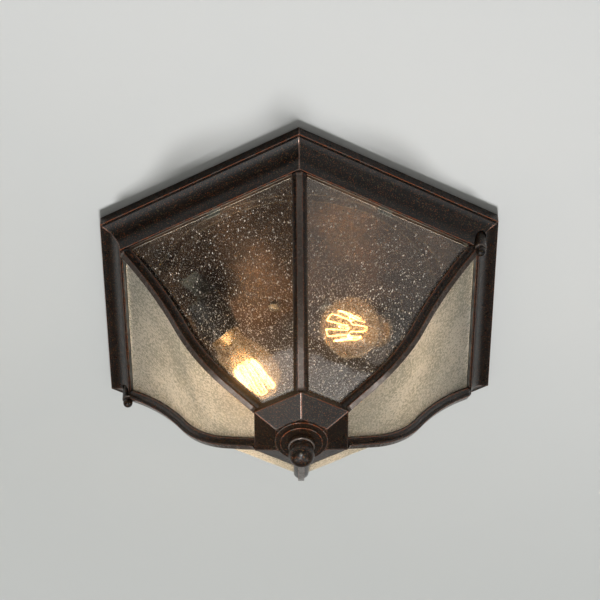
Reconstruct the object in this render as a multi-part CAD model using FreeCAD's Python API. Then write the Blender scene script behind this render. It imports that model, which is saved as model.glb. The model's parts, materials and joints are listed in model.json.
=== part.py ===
import FreeCAD, Part
import math
import os

from FreeCAD import Vector

# Porch ceiling lantern: a hexagonal moulding held under the ceiling, six bent glass
# panels between ogee ribs, a hexagonal bottom cap with a ball finial, two ball knobs
# that hold the cage to the ceiling pan, and two lamps on slanted brackets.
# Millimetres. Origin: centre of the ceiling face. +Z up, the lantern hangs along -Z.
# Corner 0 of the hexagon is at -Y, and the corners run anticlockwise seen from above.
# "Corner radius" is a distance from the axis measured at a corner of a hexagon.

# ---------------------------------------------------------------- driving dimensions
SIDES = 6
SHEET = 1.0                     # pan and liner sheet
FIT_GAP = 0.2                   # between pieces that only lie side by side
RUN_GAP = 0.05                  # radial clearance of a turning fit
MOVE_GAP = 0.3                  # between pieces of different moving bodies

# frame moulding, as insets from the outer corner radius and drops from the ceiling
FRAME_CORNER = 178.0
LIP_HEIGHT = 8.3
QUIRK_WIDTH = 1.8
QUIRK_HEIGHT = 1.2
COVE_MID_INSET = 11.4
COVE_MID_DROP = 14.6
RIM_INSET = 17.8
RIM_DROP = 27.6
FRAME_WALL = 2.2

# ogee of the panels, seen square to a side: two arcs and a straight end
OGEE_TOP_SLOPE = 44.5
OGEE_STEEP_SLOPE = 62.2
OGEE_END_SLOPE = 32.6
OGEE_UPPER_RADIUS = 246.0
OGEE_LOWER_RADIUS = 102.6
PANEL_END_CORNER = 31.0         # corner radius where panels and ribs end under the cap

# ribs, glass and liners
RIB_WIDTH = 11.5
RIB_FLANGE = 1.4
RIB_STRIP_WIDTH = 4.8
RIB_STRIP_HEIGHT = 2.8
RIB_WEB = 2.0
GLASS_THICKNESS = 3.0
GLASS_SIDE_GAP = 0.3
GLASS_TOP_SETBACK = 1.2
LINER_WIDTH = 9.6
LINER_TOP_SETBACK = 7.0
SEAT_RAIL_WALL = 1.7
SEAT_RAIL_HEIGHT = 10.4
SEAT_RAIL_RISE = 1.6            # above the rim's lower edge
RIB_FOOT_DEPTH = 6.0
CLIP_WIDTH = 12.0
CLIP_REACH = 5.4
CLIP_SCREW_RADIUS = 1.5
CLIP_SCREW_HEAD_RADIUS = 2.5

# bottom cap, clamp plate and tie bolt
CAP_CORNER = 41.0
CAP_RIM_HEIGHT = 5.2
CAP_SLOPE_HEIGHT = 9.3
CAP_FLAT_CORNER = 22.4
CAP_WALL = 1.5
CLAMP_CORNER = 38.6
CLAMP_FLAT_CORNER = 21.0
CLAMP_THICKNESS = 1.6
BOLT_RADIUS = 3.175
BOLT_NUT_ACROSS = 11.0
BOLT_NUT_HEIGHT = 4.0
BOLT_STAND_OUT = 2.0
HOLE_GAP = 0.2                  # radial clearance of a bolt or screw in its hole

# finial: stepped washer, neck and ball
WASHER_RADIUS = 20.0
WASHER_HEIGHT = 1.9
WASHER_STEP_RADIUS = 16.2
WASHER_STEP_HEIGHT = 2.0
FINIAL_NECK_RADIUS = 10.0
FINIAL_NECK_HEIGHT = 4.6
FINIAL_NECK_ROUND = 1.6
FINIAL_WAIST_RADIUS = 7.6
FINIAL_WAIST_HEIGHT = 1.4
FINIAL_BALL_RADIUS = 9.8
FINIAL_BALL_SINK = 4.0          # how far the ball's top is cut off by the waist
FINIAL_BORE_DEPTH = 8.6

# knobs, studs and the corner plates they hold
KNOB_AXIS_INSET = 17.0          # from the outer corner radius
KNOB_STEM_RADIUS = 4.1
KNOB_STEM_HEIGHT = 11.2
KNOB_COLLAR_RADIUS = 4.65
KNOB_COLLAR_HEIGHT = 6.8
KNOB_COLLAR_ROUND = 2.2
KNOB_BALL_RADIUS = 3.8
KNOB_BALL_SINK = 0.6
KNOB_HOLE_RADIUS = 5.1
KNOB_BORE_DEPTH = 12.0
CORNER_PLATE_THICKNESS = 1.8
CORNER_PLATE_SIDE = 40.0
STUD_RADIUS = 2.5
STUD_HEAD_RADIUS = 4.5
STUD_HEAD_HEIGHT = 2.6
STUD_ENGAGED = 11.0

# ceiling pan, crossbar, pad, bushing and screws
PAN_INSET = 10.0                # from the outer corner radius
PAN_DEPTH = 10.0
PAN_FLANGE = 49.0               # from the pan's corner radius to its recess
PAN_RECESS_SLOPE = 10.0         # radial width of the sloped wall
PAN_DISC_DROP = 4.0
CROSSBAR_LENGTH = 112.0
CROSSBAR_WIDTH = 18.0
CROSSBAR_THICKNESS = 1.6
BOX_SCREW_SPACING = 79.0
BOX_SLOT_LENGTH = 16.0
BOX_SLOT_RADIUS = 2.4
PAN_SCREW_OFFSET = 20.0
PAN_SCREW_RADIUS = 2.1
PAN_SCREW_HEAD_RADIUS = 4.2
PAN_SCREW_HEAD_HEIGHT = 2.4
GROUND_SCREW_OFFSET = 8.0
GROUND_SCREW_RADIUS = 2.1
GROUND_HEAD_ACROSS = 7.0
GROUND_HEAD_HEIGHT = 1.9
BUSHING_OFFSET = 26.0
BUSHING_BORE_RADIUS = 4.5
BUSHING_WALL = 1.2
BUSHING_FLANGE = 2.2
PAD_TOP_GAP = 0.6
PAD_SIDE_GAP = 2.0
PAD_STUD_CLEARANCE = 6.0

# lamps: the mouth of the left socket and the direction its lamp points
SOCKET_MOUTH_INSET = 49.7       # from the radius of the recess's flat disc
SOCKET_MOUTH_ANGLE = 178.6      # degrees from +X, seen from above
SOCKET_MOUTH_DROP = 37.6
LAMP_HEADING = 49.1             # degrees from +X, seen from above
LAMP_DIP = 33.8                 # degrees below level
SOCKET_LENGTH = 33.0
SOCKET_RADIUS = 15.6
SOCKET_WALL = 2.0
SOCKET_FLOOR = 3.0
SOCKET_RIM_STEP = 0.7
SOCKET_RIM_WIDTH = 15.0
SHELL_WALL = 0.4
SHELL_LENGTH = 25.0
CONTACT_RADIUS = 4.0
CONTACT_HEIGHT = 2.0
BRACKET_WIDTH = 18.0
BRACKET_SHEET = 1.2
BRACKET_FOOT_LENGTH = 24.0
BRACKET_TAIL = 7.0              # below the socket's centre
RIVET_RADIUS = 2.0
RIVET_HEAD_RADIUS = 3.6
RIVET_HEAD_HEIGHT = 1.4
RIVET_INSET = 7.5               # from the foot's free end
SOCKET_SCREW_RADIUS = 2.0
SOCKET_SCREW_HEAD_RADIUS = 3.6
SOCKET_SCREW_HEAD_HEIGHT = 1.8
SOCKET_SCREW_DEPTH = 2.4

# lamp (screw base and envelope)
BASE_RADIUS = 13.0
BASE_LENGTH = 23.0
BASE_THREAD_DEPTH = 0.7
BASE_THREAD_PITCH = 3.6
BASE_THREADS = 5
BASE_TIP_RADIUS = 5.0
BASE_TIP_HEIGHT = 3.6
BASE_WALL = 0.8
ENVELOPE_RADIUS = 23.6
ENVELOPE_REACH = 61.0           # from the socket's mouth to the lamp's tip
ENVELOPE_NECK_RADIUS = 12.6
ENVELOPE_NECK_LENGTH = 9.0
ENVELOPE_WALL = 0.9
STEM_RADIUS = 2.6
STEM_FLARE_HEIGHT = 9.0
FILAMENT_LEGS = 12
FILAMENT_RADIUS = 0.3
FILAMENT_CAGE_RADIUS = 8.5
FILAMENT_TOP_RADIUS = 11.5
FILAMENT_START = 20.0           # from the neck's end to the lower loops
FILAMENT_LENGTH = 27.0
HUB_RADIUS = 1.4
HUB_HEIGHT = 1.2

# ---------------------------------------------------------------- derived dimensions
STEP = 360.0 / SIDES
HALF_STEP = STEP / 2
TO_SIDE = math.cos(math.radians(HALF_STEP))     # corner radius to distance of a side
SPAN = 2 * FRAME_CORNER                         # longer than any piece
RIM_CORNER = FRAME_CORNER - RIM_INSET
INNER_CORNER = RIM_CORNER - FRAME_WALL
RAIL_CORNER = INNER_CORNER - SEAT_RAIL_WALL
RAIL_BOTTOM = SEAT_RAIL_RISE - RIM_DROP
RAIL_TOP = RAIL_BOTTOM + SEAT_RAIL_HEIGHT
GLASS_TOP = -(RIB_FLANGE + FIT_GAP)             # glass's outer face, from the ogee
GLASS_BACK = GLASS_TOP - GLASS_THICKNESS
LINER_FACE = GLASS_BACK - FIT_GAP
PAN_CORNER = FRAME_CORNER - PAN_INSET
PAN_RECESS_RADIUS = PAN_CORNER - PAN_FLANGE
PAN_DISC_RADIUS = PAN_RECESS_RADIUS - PAN_RECESS_SLOPE
KNOB_AXIS_RADIUS = FRAME_CORNER - KNOB_AXIS_INSET
SOCKET_MOUTH_RADIUS = PAN_DISC_RADIUS - SOCKET_MOUTH_INSET
PLATE_TOP = -PAN_DEPTH - MOVE_GAP
PLATE_BOTTOM = PLATE_TOP - CORNER_PLATE_THICKNESS
UP = Vector(0, 0, 1)
ORIGIN = Vector(0, 0, 0)


# ---------------------------------------------------------------- plain solids
def ring_angles():
    return [-90.0 + STEP * k for k in range(SIDES)]


def turned(shape, degrees):
    copy = shape.copy()
    copy.rotate(ORIGIN, UP, degrees)
    return copy


def moved(shape, x, y, z):
    copy = shape.copy()
    copy.translate(Vector(x, y, z))
    return copy


def polar(radius, degrees, z=0.0):
    angle = math.radians(degrees)
    return Vector(radius * math.cos(angle), radius * math.sin(angle), z)


def cylinder(radius, bottom, top, x=0.0, y=0.0):
    return Part.makeCylinder(radius, top - bottom, Vector(x, y, bottom))


def box(x0, x1, y0, y1, z0, z1):
    return Part.makeBox(x1 - x0, y1 - y0, z1 - z0, Vector(x0, y0, z0))


def prism(corner_radius, bottom, top):
    """Hexagonal prism with a corner on -Y."""
    points = [polar(corner_radius, angle, bottom) for angle in ring_angles()]
    face = Part.Face(Part.makePolygon(points + points[:1]))
    return face.extrude(Vector(0, 0, top - bottom))


def nut(across_flats, bottom, top, bore, x=0.0, y=0.0):
    corner = across_flats / 2 / TO_SIDE
    body = prism(corner, bottom, top).cut(cylinder(bore, bottom, top))
    return moved(body, x, y, 0)


def revolved(points):
    """Turn a closed outline of (radius, height) points about the Z axis."""
    corners = [Vector(r, 0, z) for r, z in points]
    face = Part.Face(Part.makePolygon(corners + corners[:1]))
    return face.revolve(ORIGIN, UP, 360)


def revolved_edges(edges):
    """Turn a closed outline of edges in the XZ plane about the Z axis."""
    return Part.Face(Part.Wire(edges)).revolve(ORIGIN, UP, 360)


def line(a, b):
    return Part.LineSegment(a, b).toShape()


def arc(a, b, c):
    return Part.Arc(a, b, c).toShape()


def round_point(centre_r, centre_z, radius, degrees):
    angle = math.radians(degrees)
    return Vector(centre_r + radius * math.cos(angle), 0, centre_z + radius * math.sin(angle))


# ---------------------------------------------------------------- hexagonal sweeps
def side_wedge():
    """The sixth of space in front of one side, whose normal is +X."""
    reach = math.tan(math.radians(HALF_STEP)) * SPAN
    points = [Vector(0, 0, -SPAN), Vector(SPAN, -reach, -SPAN), Vector(SPAN, reach, -SPAN)]
    return Part.Face(Part.makePolygon(points + points[:1])).extrude(Vector(0, 0, 2 * SPAN))


def side_length(face):
    """Sweep a section in the XZ plane along one side, with mitred ends."""
    bar = moved(face, 0, -SPAN / 2, 0).extrude(Vector(0, SPAN, 0))
    return bar.common(side_wedge())


def all_sides(piece):
    """Six copies of a piece on the side whose normal is +X, joined to one solid."""
    copies = [turned(piece, angle + HALF_STEP) for angle in ring_angles()]
    return copies[0].multiFuse(copies[1:]).removeSplitter()


def corner_half(piece, half_width):
    """A side piece turned so that its corner is on +X, kept to one half of a strip."""
    strip = box(0, SPAN, 0, half_width, -SPAN, SPAN)
    return turned(piece, HALF_STEP).common(strip)


def mirrored(shape):
    return shape.mirror(ORIGIN, Vector(0, 1, 0))


# ---------------------------------------------------------------- ogee
class Ogee:
    """The outer face of the rib flanges, in the plane square to one side."""

    def __init__(self):
        self.top = math.radians(OGEE_TOP_SLOPE)
        self.steep = math.radians(OGEE_STEEP_SLOPE)
        self.end = math.radians(OGEE_END_SLOPE)
        self.start = Vector((INNER_CORNER + FIT_GAP) * TO_SIDE, 0, -RIM_DROP)
        self.upper_centre = self.start + self.normal(self.top) * OGEE_UPPER_RADIUS
        self.bend = self.upper_centre - self.normal(self.steep) * OGEE_UPPER_RADIUS
        self.lower_centre = self.bend - self.normal(self.steep) * OGEE_LOWER_RADIUS
        self.foot = self.lower_centre + self.normal(self.end) * OGEE_LOWER_RADIUS

    @staticmethod
    def normal(slope):
        return Vector(math.sin(slope), 0, -math.cos(slope))

    @staticmethod
    def along(slope):
        return Vector(-math.cos(slope), 0, -math.sin(slope))

    def height_at(self, side_distance, offset=0.0):
        """Height of the straight end at a distance from the axis."""
        foot = self.foot + self.normal(self.end) * offset
        return foot.z - (foot.x - side_distance) * math.tan(self.end)

    def path(self, offset, end_distance, setback):
        """Points of one face: start, upper arc, bend, lower arc, foot and end."""
        first = self.top + setback / OGEE_UPPER_RADIUS
        upper = OGEE_UPPER_RADIUS - offset
        lower = OGEE_LOWER_RADIUS + offset
        foot = self.lower_centre + self.normal(self.end) * lower
        length = (self.foot.x - end_distance) / math.cos(self.end)
        return [
            self.upper_centre - self.normal(first) * upper,
            self.upper_centre - self.normal((first + self.steep) / 2) * upper,
            self.upper_centre - self.normal(self.steep) * upper,
            self.lower_centre + self.normal((self.steep + self.end) / 2) * lower,
            foot,
            foot + self.along(self.end) * length,
        ]

    def band(self, low, high, end_corner, setback=0.0):
        """Mitred piece of one side, between two offsets from the outer face."""
        end = (end_corner - RIB_STRIP_HEIGHT - GLASS_THICKNESS) * TO_SIDE
        p = self.path(high, end, setback)
        q = self.path(low, end, setback)
        edges = [
            arc(p[0], p[1], p[2]), arc(p[2], p[3], p[4]), line(p[4], p[5]),
            line(p[5], q[5]),
            line(q[5], q[4]), arc(q[4], q[3], q[2]), arc(q[2], q[1], q[0]),
            line(q[0], p[0]),
        ]
        side = side_length(Part.Face(Part.Wire(edges)))
        return side.cut(prism_at_side(end_corner))


def prism_at_side(corner_radius):
    """Tall hexagonal prism turned so that a side's normal is +X."""
    return turned(prism(corner_radius, -SPAN, SPAN), 90.0 - HALF_STEP)


OGEE = Ogee()
CAP_RIM_BOTTOM = OGEE.height_at(CAP_CORNER * TO_SIDE) - CAP_RIM_HEIGHT
CAP_BOTTOM = CAP_RIM_BOTTOM - CAP_SLOPE_HEIGHT
WASHER_BOTTOM = CAP_BOTTOM - WASHER_HEIGHT - WASHER_STEP_HEIGHT


# ---------------------------------------------------------------- cage
def at_corner(corner_radius, drop):
    """Point of a section, square to a side, from its corner radius and its drop."""
    return Vector(corner_radius * TO_SIDE, 0, -drop)


def cove_back():
    """Arc behind the cove, from its foot above the rim to its top behind the lip."""
    foot = at_corner(INNER_CORNER, RIM_DROP - FRAME_WALL)
    middle = at_corner(FRAME_CORNER - COVE_MID_INSET - FRAME_WALL / 2, COVE_MID_DROP - FRAME_WALL)
    top = at_corner(FRAME_CORNER - QUIRK_WIDTH - FRAME_WALL, LIP_HEIGHT + QUIRK_HEIGHT - FRAME_WALL)
    return foot, middle, top


def cove_back_corner(drop):
    """Corner radius of the cove's back at a drop from the ceiling."""
    curve = arc(*cove_back()).Curve
    centre = curve.Center
    run = math.sqrt(curve.Radius ** 2 - (-drop - centre.z) ** 2)
    return (centre.x - run) / TO_SIDE


def frame_section():
    """Moulding section: lip, quirk, cove and rim, with an even wall behind."""
    quirk = FRAME_CORNER - QUIRK_WIDTH
    lip_back = FRAME_CORNER - FRAME_WALL
    foot, middle, top = cove_back()
    front = [at_corner(lip_back, 0), at_corner(FRAME_CORNER, 0), at_corner(FRAME_CORNER, LIP_HEIGHT),
             at_corner(quirk, LIP_HEIGHT), at_corner(quirk, LIP_HEIGHT + QUIRK_HEIGHT)]
    rim = at_corner(RIM_CORNER, RIM_DROP)
    edges = [line(a, b) for a, b in zip(front, front[1:])]
    edges.append(arc(front[-1], at_corner(FRAME_CORNER - COVE_MID_INSET, COVE_MID_DROP), rim))
    edges.append(line(rim, at_corner(INNER_CORNER, RIM_DROP)))
    edges.append(line(at_corner(INNER_CORNER, RIM_DROP), foot))
    edges.append(arc(foot, middle, top))
    above = at_corner(lip_back, LIP_HEIGHT + QUIRK_HEIGHT - 2 * FRAME_WALL)
    edges.append(line(top, above))
    edges.append(line(above, front[0]))
    return Part.Face(Part.Wire(edges))


def knob_corners():
    """The two knobs stand at opposite corners, one step from the corner on -Y."""
    return {"right": 1, "left": 1 + SIDES // 2}


def knob_places():
    return {k: polar(KNOB_AXIS_RADIUS, ring_angles()[k]) for k in knob_corners().values()}


def at_knobs(shape):
    return [moved(shape, place.x, place.y, 0) for place in knob_places().values()]


def knob_hole():
    bottom = PLATE_BOTTOM - KNOB_STEM_HEIGHT - KNOB_COLLAR_HEIGHT - 2 * KNOB_BALL_RADIUS
    return cylinder(KNOB_HOLE_RADIUS, bottom, -PAN_DEPTH)


def frame_moulding():
    ring = all_sides(side_length(frame_section()))
    for hole in at_knobs(knob_hole()):
        ring = ring.cut(hole)
    return ring


def seat_rails():
    """Two bent rails inside the rim, one on each side of the knobs."""
    ring = prism(INNER_CORNER, RAIL_BOTTOM, RAIL_TOP).cut(prism(RAIL_CORNER, RAIL_BOTTOM, RAIL_TOP))
    for hole in at_knobs(knob_hole()):
        ring = ring.cut(hole)
    return ring


def corner_plates():
    """Plates behind the cove at the two knobs; each stud passes through one."""
    corner = cove_back_corner(-PLATE_BOTTOM) - FIT_GAP
    solid = prism(corner, PLATE_BOTTOM, PLATE_TOP)
    inner = corner - CORNER_PLATE_SIDE * math.sin(math.radians(HALF_STEP))
    plates = []
    for k, place in knob_places().items():
        keep = turned(box(inner, SPAN, -SPAN, SPAN, -SPAN, 0), ring_angles()[k])
        hole = cylinder(STUD_RADIUS + HOLE_GAP, -SPAN, 0, place.x, place.y)
        plates.append(solid.common(keep).cut(hole))
    return Part.makeCompound(plates)


def rib(k):
    """Flange, raised strip and web along one corner, with a foot on the seat ring."""
    parts = []
    for low, high, width in ((-RIB_FLANGE, 0.0, RIB_WIDTH),
                             (0.0, RIB_STRIP_HEIGHT, RIB_STRIP_WIDTH),
                             (GLASS_BACK, -RIB_FLANGE, RIB_WEB)):
        half = corner_half(OGEE.band(low, high, PANEL_END_CORNER), width / 2)
        parts += [half, mirrored(half)]
    foot = box(RAIL_CORNER - RIB_FOOT_DEPTH, RAIL_CORNER, -RIB_WEB / 2, RIB_WEB / 2,
               RAIL_BOTTOM, RAIL_TOP)
    parts.append(foot.common(turned(prism(RAIL_CORNER, -SPAN, 0), 90)))
    solid = parts[0].multiFuse(parts[1:]).removeSplitter()
    solid = solid.common(turned(prism(INNER_CORNER, -SPAN, 0), 90))
    cap_rim = turned(prism(CAP_CORNER + FIT_GAP, -SPAN, 0), 90)
    strip_end = OGEE.band(0.0, RIB_STRIP_HEIGHT + FIT_GAP, PANEL_END_CORNER)
    strip_end = turned(strip_end, HALF_STEP).common(cap_rim)
    solid = solid.cut(strip_end).cut(mirrored(strip_end))
    solid = turned(solid, ring_angles()[k])
    if k in knob_places():
        place = knob_places()[k]
        solid = solid.cut(moved(knob_hole(), place.x, place.y, 0))
    return solid


def glass_panel(k):
    """Bent panel in front of side k, cut back from the webs of its two ribs."""
    piece = OGEE.band(GLASS_BACK, GLASS_TOP, PANEL_END_CORNER, GLASS_TOP_SETBACK)
    cut_back = RIB_WEB / 2 + GLASS_SIDE_GAP
    for sign in (1, -1):
        web = box(-SPAN, SPAN, -cut_back, cut_back, -SPAN, SPAN)
        piece = piece.cut(turned(web, sign * HALF_STEP))
    return turned(piece, ring_angles()[k] + HALF_STEP)


def rib_liner(k):
    """Inner strip behind the glass edges along one corner."""
    piece = OGEE.band(LINER_FACE - SHEET, LINER_FACE, CLAMP_CORNER + 2 * FIT_GAP + SHEET,
                      LINER_TOP_SETBACK)
    half = corner_half(piece, LINER_WIDTH / 2)
    solid = half.fuse(mirrored(half)).removeSplitter()
    return turned(solid, ring_angles()[k])


def glass_clips():
    """One bent clip in the middle of each side, from its rail to the glass, and its screw."""
    face = RAIL_CORNER * TO_SIDE
    shelf = RAIL_BOTTOM + GLASS_THICKNESS + SHEET
    toe = face - CLIP_REACH
    slope = math.radians(OGEE_TOP_SLOPE)
    glass = OGEE.start + OGEE.normal(slope) * GLASS_BACK
    toe_bottom = glass.z - (glass.x - toe - SHEET) * math.tan(slope) + FIT_GAP
    half = CLIP_WIDTH / 2
    leg = box(face - SHEET, face, -half, half, shelf, RAIL_TOP)
    arm = box(toe, face, -half, half, shelf, shelf + SHEET)
    tip = box(toe, toe + SHEET, -half, half, toe_bottom, shelf + SHEET)
    middle = RAIL_TOP - CLIP_SCREW_HEAD_RADIUS - FIT_GAP
    across = Vector(1, 0, 0)
    hole = Part.makeCylinder(CLIP_SCREW_RADIUS + HOLE_GAP, SHEET, Vector(face - SHEET, 0, middle), across)
    clip = leg.multiFuse([arm, tip]).removeSplitter().cut(hole)
    head = Part.makeCylinder(CLIP_SCREW_HEAD_RADIUS, SHEET, Vector(face - 2 * SHEET, 0, middle), across)
    shank = Part.makeCylinder(CLIP_SCREW_RADIUS, SHEET, Vector(face - SHEET, 0, middle), across)
    screw_solid = head.fuse(shank)
    angles = [angle + HALF_STEP for angle in ring_angles()]
    clips = Part.makeCompound([turned(clip, angle) for angle in angles])
    screws = Part.makeCompound([turned(screw_solid, angle) for angle in angles])
    return clips, screws


def frustum(bottom_corner, bottom, top_corner, top):
    def ring(corner, height):
        points = [polar(corner, angle, height) for angle in ring_angles()]
        return Part.makePolygon(points + points[:1])
    return Part.makeLoft([ring(bottom_corner, bottom), ring(top_corner, top)], True, True)


def bottom_cap():
    """Hollow hexagonal cap whose rim stands against the rib flanges, notched for the strips."""
    rim_top = OGEE.height_at(CAP_CORNER * TO_SIDE) + CAP_WALL
    turn_in = CAP_RIM_BOTTOM + CAP_WALL / 2
    inside = CAP_CORNER - CAP_WALL
    outer = prism(CAP_CORNER, CAP_RIM_BOTTOM, rim_top)
    outer = outer.fuse(frustum(CAP_FLAT_CORNER, CAP_BOTTOM, CAP_CORNER, CAP_RIM_BOTTOM))
    inner = prism(inside, turn_in, rim_top)
    inner = inner.fuse(frustum(CAP_FLAT_CORNER - CAP_WALL / 2, CAP_BOTTOM + CAP_WALL, inside, turn_in))
    shell = outer.removeSplitter().cut(inner.removeSplitter())
    shell = shell.cut(cylinder(BOLT_RADIUS + HOLE_GAP, CAP_BOTTOM, rim_top))
    flanges = OGEE.band(-CAP_RIM_HEIGHT, RUN_GAP, PANEL_END_CORNER)
    strip = OGEE.band(0.0, RIB_STRIP_HEIGHT + FIT_GAP, PANEL_END_CORNER)
    notch = corner_half(strip, RIB_STRIP_WIDTH / 2 + FIT_GAP)
    notch = notch.fuse(mirrored(notch)).cut(turned(prism(CAP_CORNER, -SPAN, 0), 90))
    for angle in ring_angles():
        shell = shell.cut(turned(flanges, angle + HALF_STEP))
        shell = shell.cut(turned(notch, angle))
    return shell


def clamp_plate():
    """Dished plate behind the glass ends; the tie bolt draws it towards the cap."""
    slope = OGEE.band(LINER_FACE - CLAMP_THICKNESS, LINER_FACE, CLAMP_FLAT_CORNER)
    ring = all_sides(slope.common(prism_at_side(CLAMP_CORNER)))
    low = clamp_top() - CLAMP_THICKNESS
    flat = prism(CLAMP_FLAT_CORNER + CLAMP_THICKNESS, low, clamp_top())
    plate = ring.fuse(flat).removeSplitter()
    return plate.cut(cylinder(BOLT_RADIUS + HOLE_GAP, -SPAN, 0))


def clamp_top():
    return OGEE.height_at(CLAMP_FLAT_CORNER * TO_SIDE, LINER_FACE) + CLAMP_THICKNESS


def tie_bolt():
    top = clamp_top() + BOLT_NUT_HEIGHT + BOLT_STAND_OUT
    return cylinder(BOLT_RADIUS, WASHER_BOTTOM - FINIAL_BORE_DEPTH + MOVE_GAP, top)


def bolt_nut():
    return nut(BOLT_NUT_ACROSS, clamp_top(), clamp_top() + BOLT_NUT_HEIGHT, BOLT_RADIUS + RUN_GAP)


def finial_washer():
    step = CAP_BOTTOM - WASHER_HEIGHT
    bore = BOLT_RADIUS + HOLE_GAP
    return revolved([(bore, CAP_BOTTOM), (WASHER_RADIUS, CAP_BOTTOM), (WASHER_RADIUS, step),
                     (WASHER_STEP_RADIUS, step), (WASHER_STEP_RADIUS, WASHER_BOTTOM),
                     (bore, WASHER_BOTTOM)])


def finial_ball():
    """Neck drum with a rounded lower edge, a waist and a ball, with a blind bore."""
    top = WASHER_BOTTOM - RUN_GAP
    neck_bottom = top - FINIAL_NECK_HEIGHT
    waist_bottom = neck_bottom - FINIAL_WAIST_HEIGHT
    turn = FINIAL_NECK_ROUND
    neck = [Vector(0, 0, top), Vector(FINIAL_NECK_RADIUS, 0, top),
            Vector(FINIAL_NECK_RADIUS, 0, neck_bottom + turn)]
    low = Vector(FINIAL_NECK_RADIUS - turn, 0, neck_bottom)
    edges = [line(neck[0], neck[1]), line(neck[1], neck[2])]
    edges.append(arc(neck[2], round_point(low.x, neck[2].z, turn, -45), low))
    waist = [low, Vector(FINIAL_WAIST_RADIUS, 0, neck_bottom),
             Vector(FINIAL_WAIST_RADIUS, 0, waist_bottom), Vector(0, 0, waist_bottom)]
    edges += [line(a, b) for a, b in zip(waist, waist[1:]) if a.distanceToPoint(b) > RUN_GAP]
    edges.append(line(waist[-1], neck[0]))
    body = revolved_edges(edges)
    centre = waist_bottom + FINIAL_BALL_SINK - FINIAL_BALL_RADIUS
    ball = Part.makeSphere(FINIAL_BALL_RADIUS, Vector(0, 0, centre))
    ball = ball.common(cylinder(SPAN / 2, centre - SPAN, waist_bottom))
    bore = cylinder(BOLT_RADIUS + RUN_GAP, top - FINIAL_BORE_DEPTH, top)
    return body.fuse(ball).cut(bore)


def knob():
    """Stem, rounded collar and ball end, with a blind bore for the stud."""
    top = PLATE_BOTTOM - RUN_GAP
    collar_top = top - KNOB_STEM_HEIGHT
    collar_bottom = collar_top - KNOB_COLLAR_HEIGHT
    turn = KNOB_COLLAR_ROUND
    inner = KNOB_COLLAR_RADIUS - turn
    upper = [Vector(0, 0, top), Vector(KNOB_STEM_RADIUS, 0, top),
             Vector(KNOB_STEM_RADIUS, 0, collar_top), Vector(KNOB_COLLAR_RADIUS, 0, collar_top),
             Vector(KNOB_COLLAR_RADIUS, 0, collar_bottom + turn)]
    edges = [line(a, b) for a, b in zip(upper, upper[1:])]
    low = Vector(inner, 0, collar_bottom)
    edges.append(arc(upper[-1], round_point(inner, collar_bottom + turn, turn, -45), low))
    edges.append(line(low, Vector(0, 0, collar_bottom)))
    edges.append(line(Vector(0, 0, collar_bottom), upper[0]))
    centre = collar_bottom + KNOB_BALL_SINK - KNOB_BALL_RADIUS
    ball = Part.makeSphere(KNOB_BALL_RADIUS, Vector(0, 0, centre))
    body = revolved_edges(edges).fuse(ball)
    return body.cut(cylinder(STUD_RADIUS + RUN_GAP, top - KNOB_BORE_DEPTH, top))


# ---------------------------------------------------------------- ceiling mount
def pan_disc_bottom():
    return -PAN_DISC_DROP - SHEET


def pan_screw_places():
    return [(PAN_SCREW_OFFSET, 0.0), (-PAN_SCREW_OFFSET, 0.0)]


def ceiling_pan():
    """Hexagonal tray with a turned-up rim and a round recess that rises in its middle."""
    low = -PAN_DEPTH
    disc = -PAN_DISC_DROP
    rim = prism(PAN_CORNER, low, 0).cut(prism(PAN_CORNER - SHEET / TO_SIDE, low, 0))
    flange = prism(PAN_CORNER, low, low + SHEET).cut(cylinder(PAN_RECESS_RADIUS + SHEET, low, 0))
    middle = revolved([(0, disc), (PAN_DISC_RADIUS + SHEET, disc),
                       (PAN_RECESS_RADIUS + SHEET, low + SHEET),
                       (PAN_RECESS_RADIUS + 2 * SHEET, low + SHEET),
                       (PAN_RECESS_RADIUS + 2 * SHEET, low), (PAN_RECESS_RADIUS, low),
                       (PAN_DISC_RADIUS, disc - SHEET), (0, disc - SHEET)])
    pan = rim.multiFuse([flange, middle]).removeSplitter()
    holes = [cylinder(STUD_RADIUS + HOLE_GAP, -SPAN, 0, p.x, p.y) for p in knob_places().values()]
    holes += [cylinder(PAN_SCREW_RADIUS + HOLE_GAP, -SPAN, 0, x, y) for x, y in pan_screw_places()]
    holes.append(cylinder(BUSHING_BORE_RADIUS + BUSHING_WALL, -SPAN, 0, 0, BUSHING_OFFSET))
    for lamp in LAMPS.values():
        place = lamp.rivet_place()
        holes.append(cylinder(RIVET_RADIUS + RUN_GAP, -SPAN, 0, place.x, place.y))
    for hole in holes:
        pan = pan.cut(hole)
    return pan


def crossbar():
    half_x = CROSSBAR_LENGTH / 2
    half_y = CROSSBAR_WIDTH / 2
    bar = box(-half_x, half_x, -half_y, half_y, -CROSSBAR_THICKNESS, 0)
    for sign in (1, -1):
        centre = sign * BOX_SCREW_SPACING / 2
        run = BOX_SLOT_LENGTH / 2 - BOX_SLOT_RADIUS
        bar = bar.cut(box(centre - run, centre + run, -BOX_SLOT_RADIUS, BOX_SLOT_RADIUS, -SPAN, SPAN))
        for end in (centre - run, centre + run):
            bar = bar.cut(cylinder(BOX_SLOT_RADIUS, -SPAN, SPAN, end, 0))
    for x, y in pan_screw_places():
        bar = bar.cut(cylinder(PAN_SCREW_RADIUS + RUN_GAP, -SPAN, SPAN, x, y))
    return bar.cut(cylinder(GROUND_SCREW_RADIUS + RUN_GAP, -SPAN, SPAN, GROUND_SCREW_OFFSET, 0))


def screw(radius, head_radius, head_height, top, seat):
    shank = cylinder(radius, seat, top)
    head = cylinder(head_radius, seat - head_height, seat)
    return shank.fuse(head)


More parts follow.
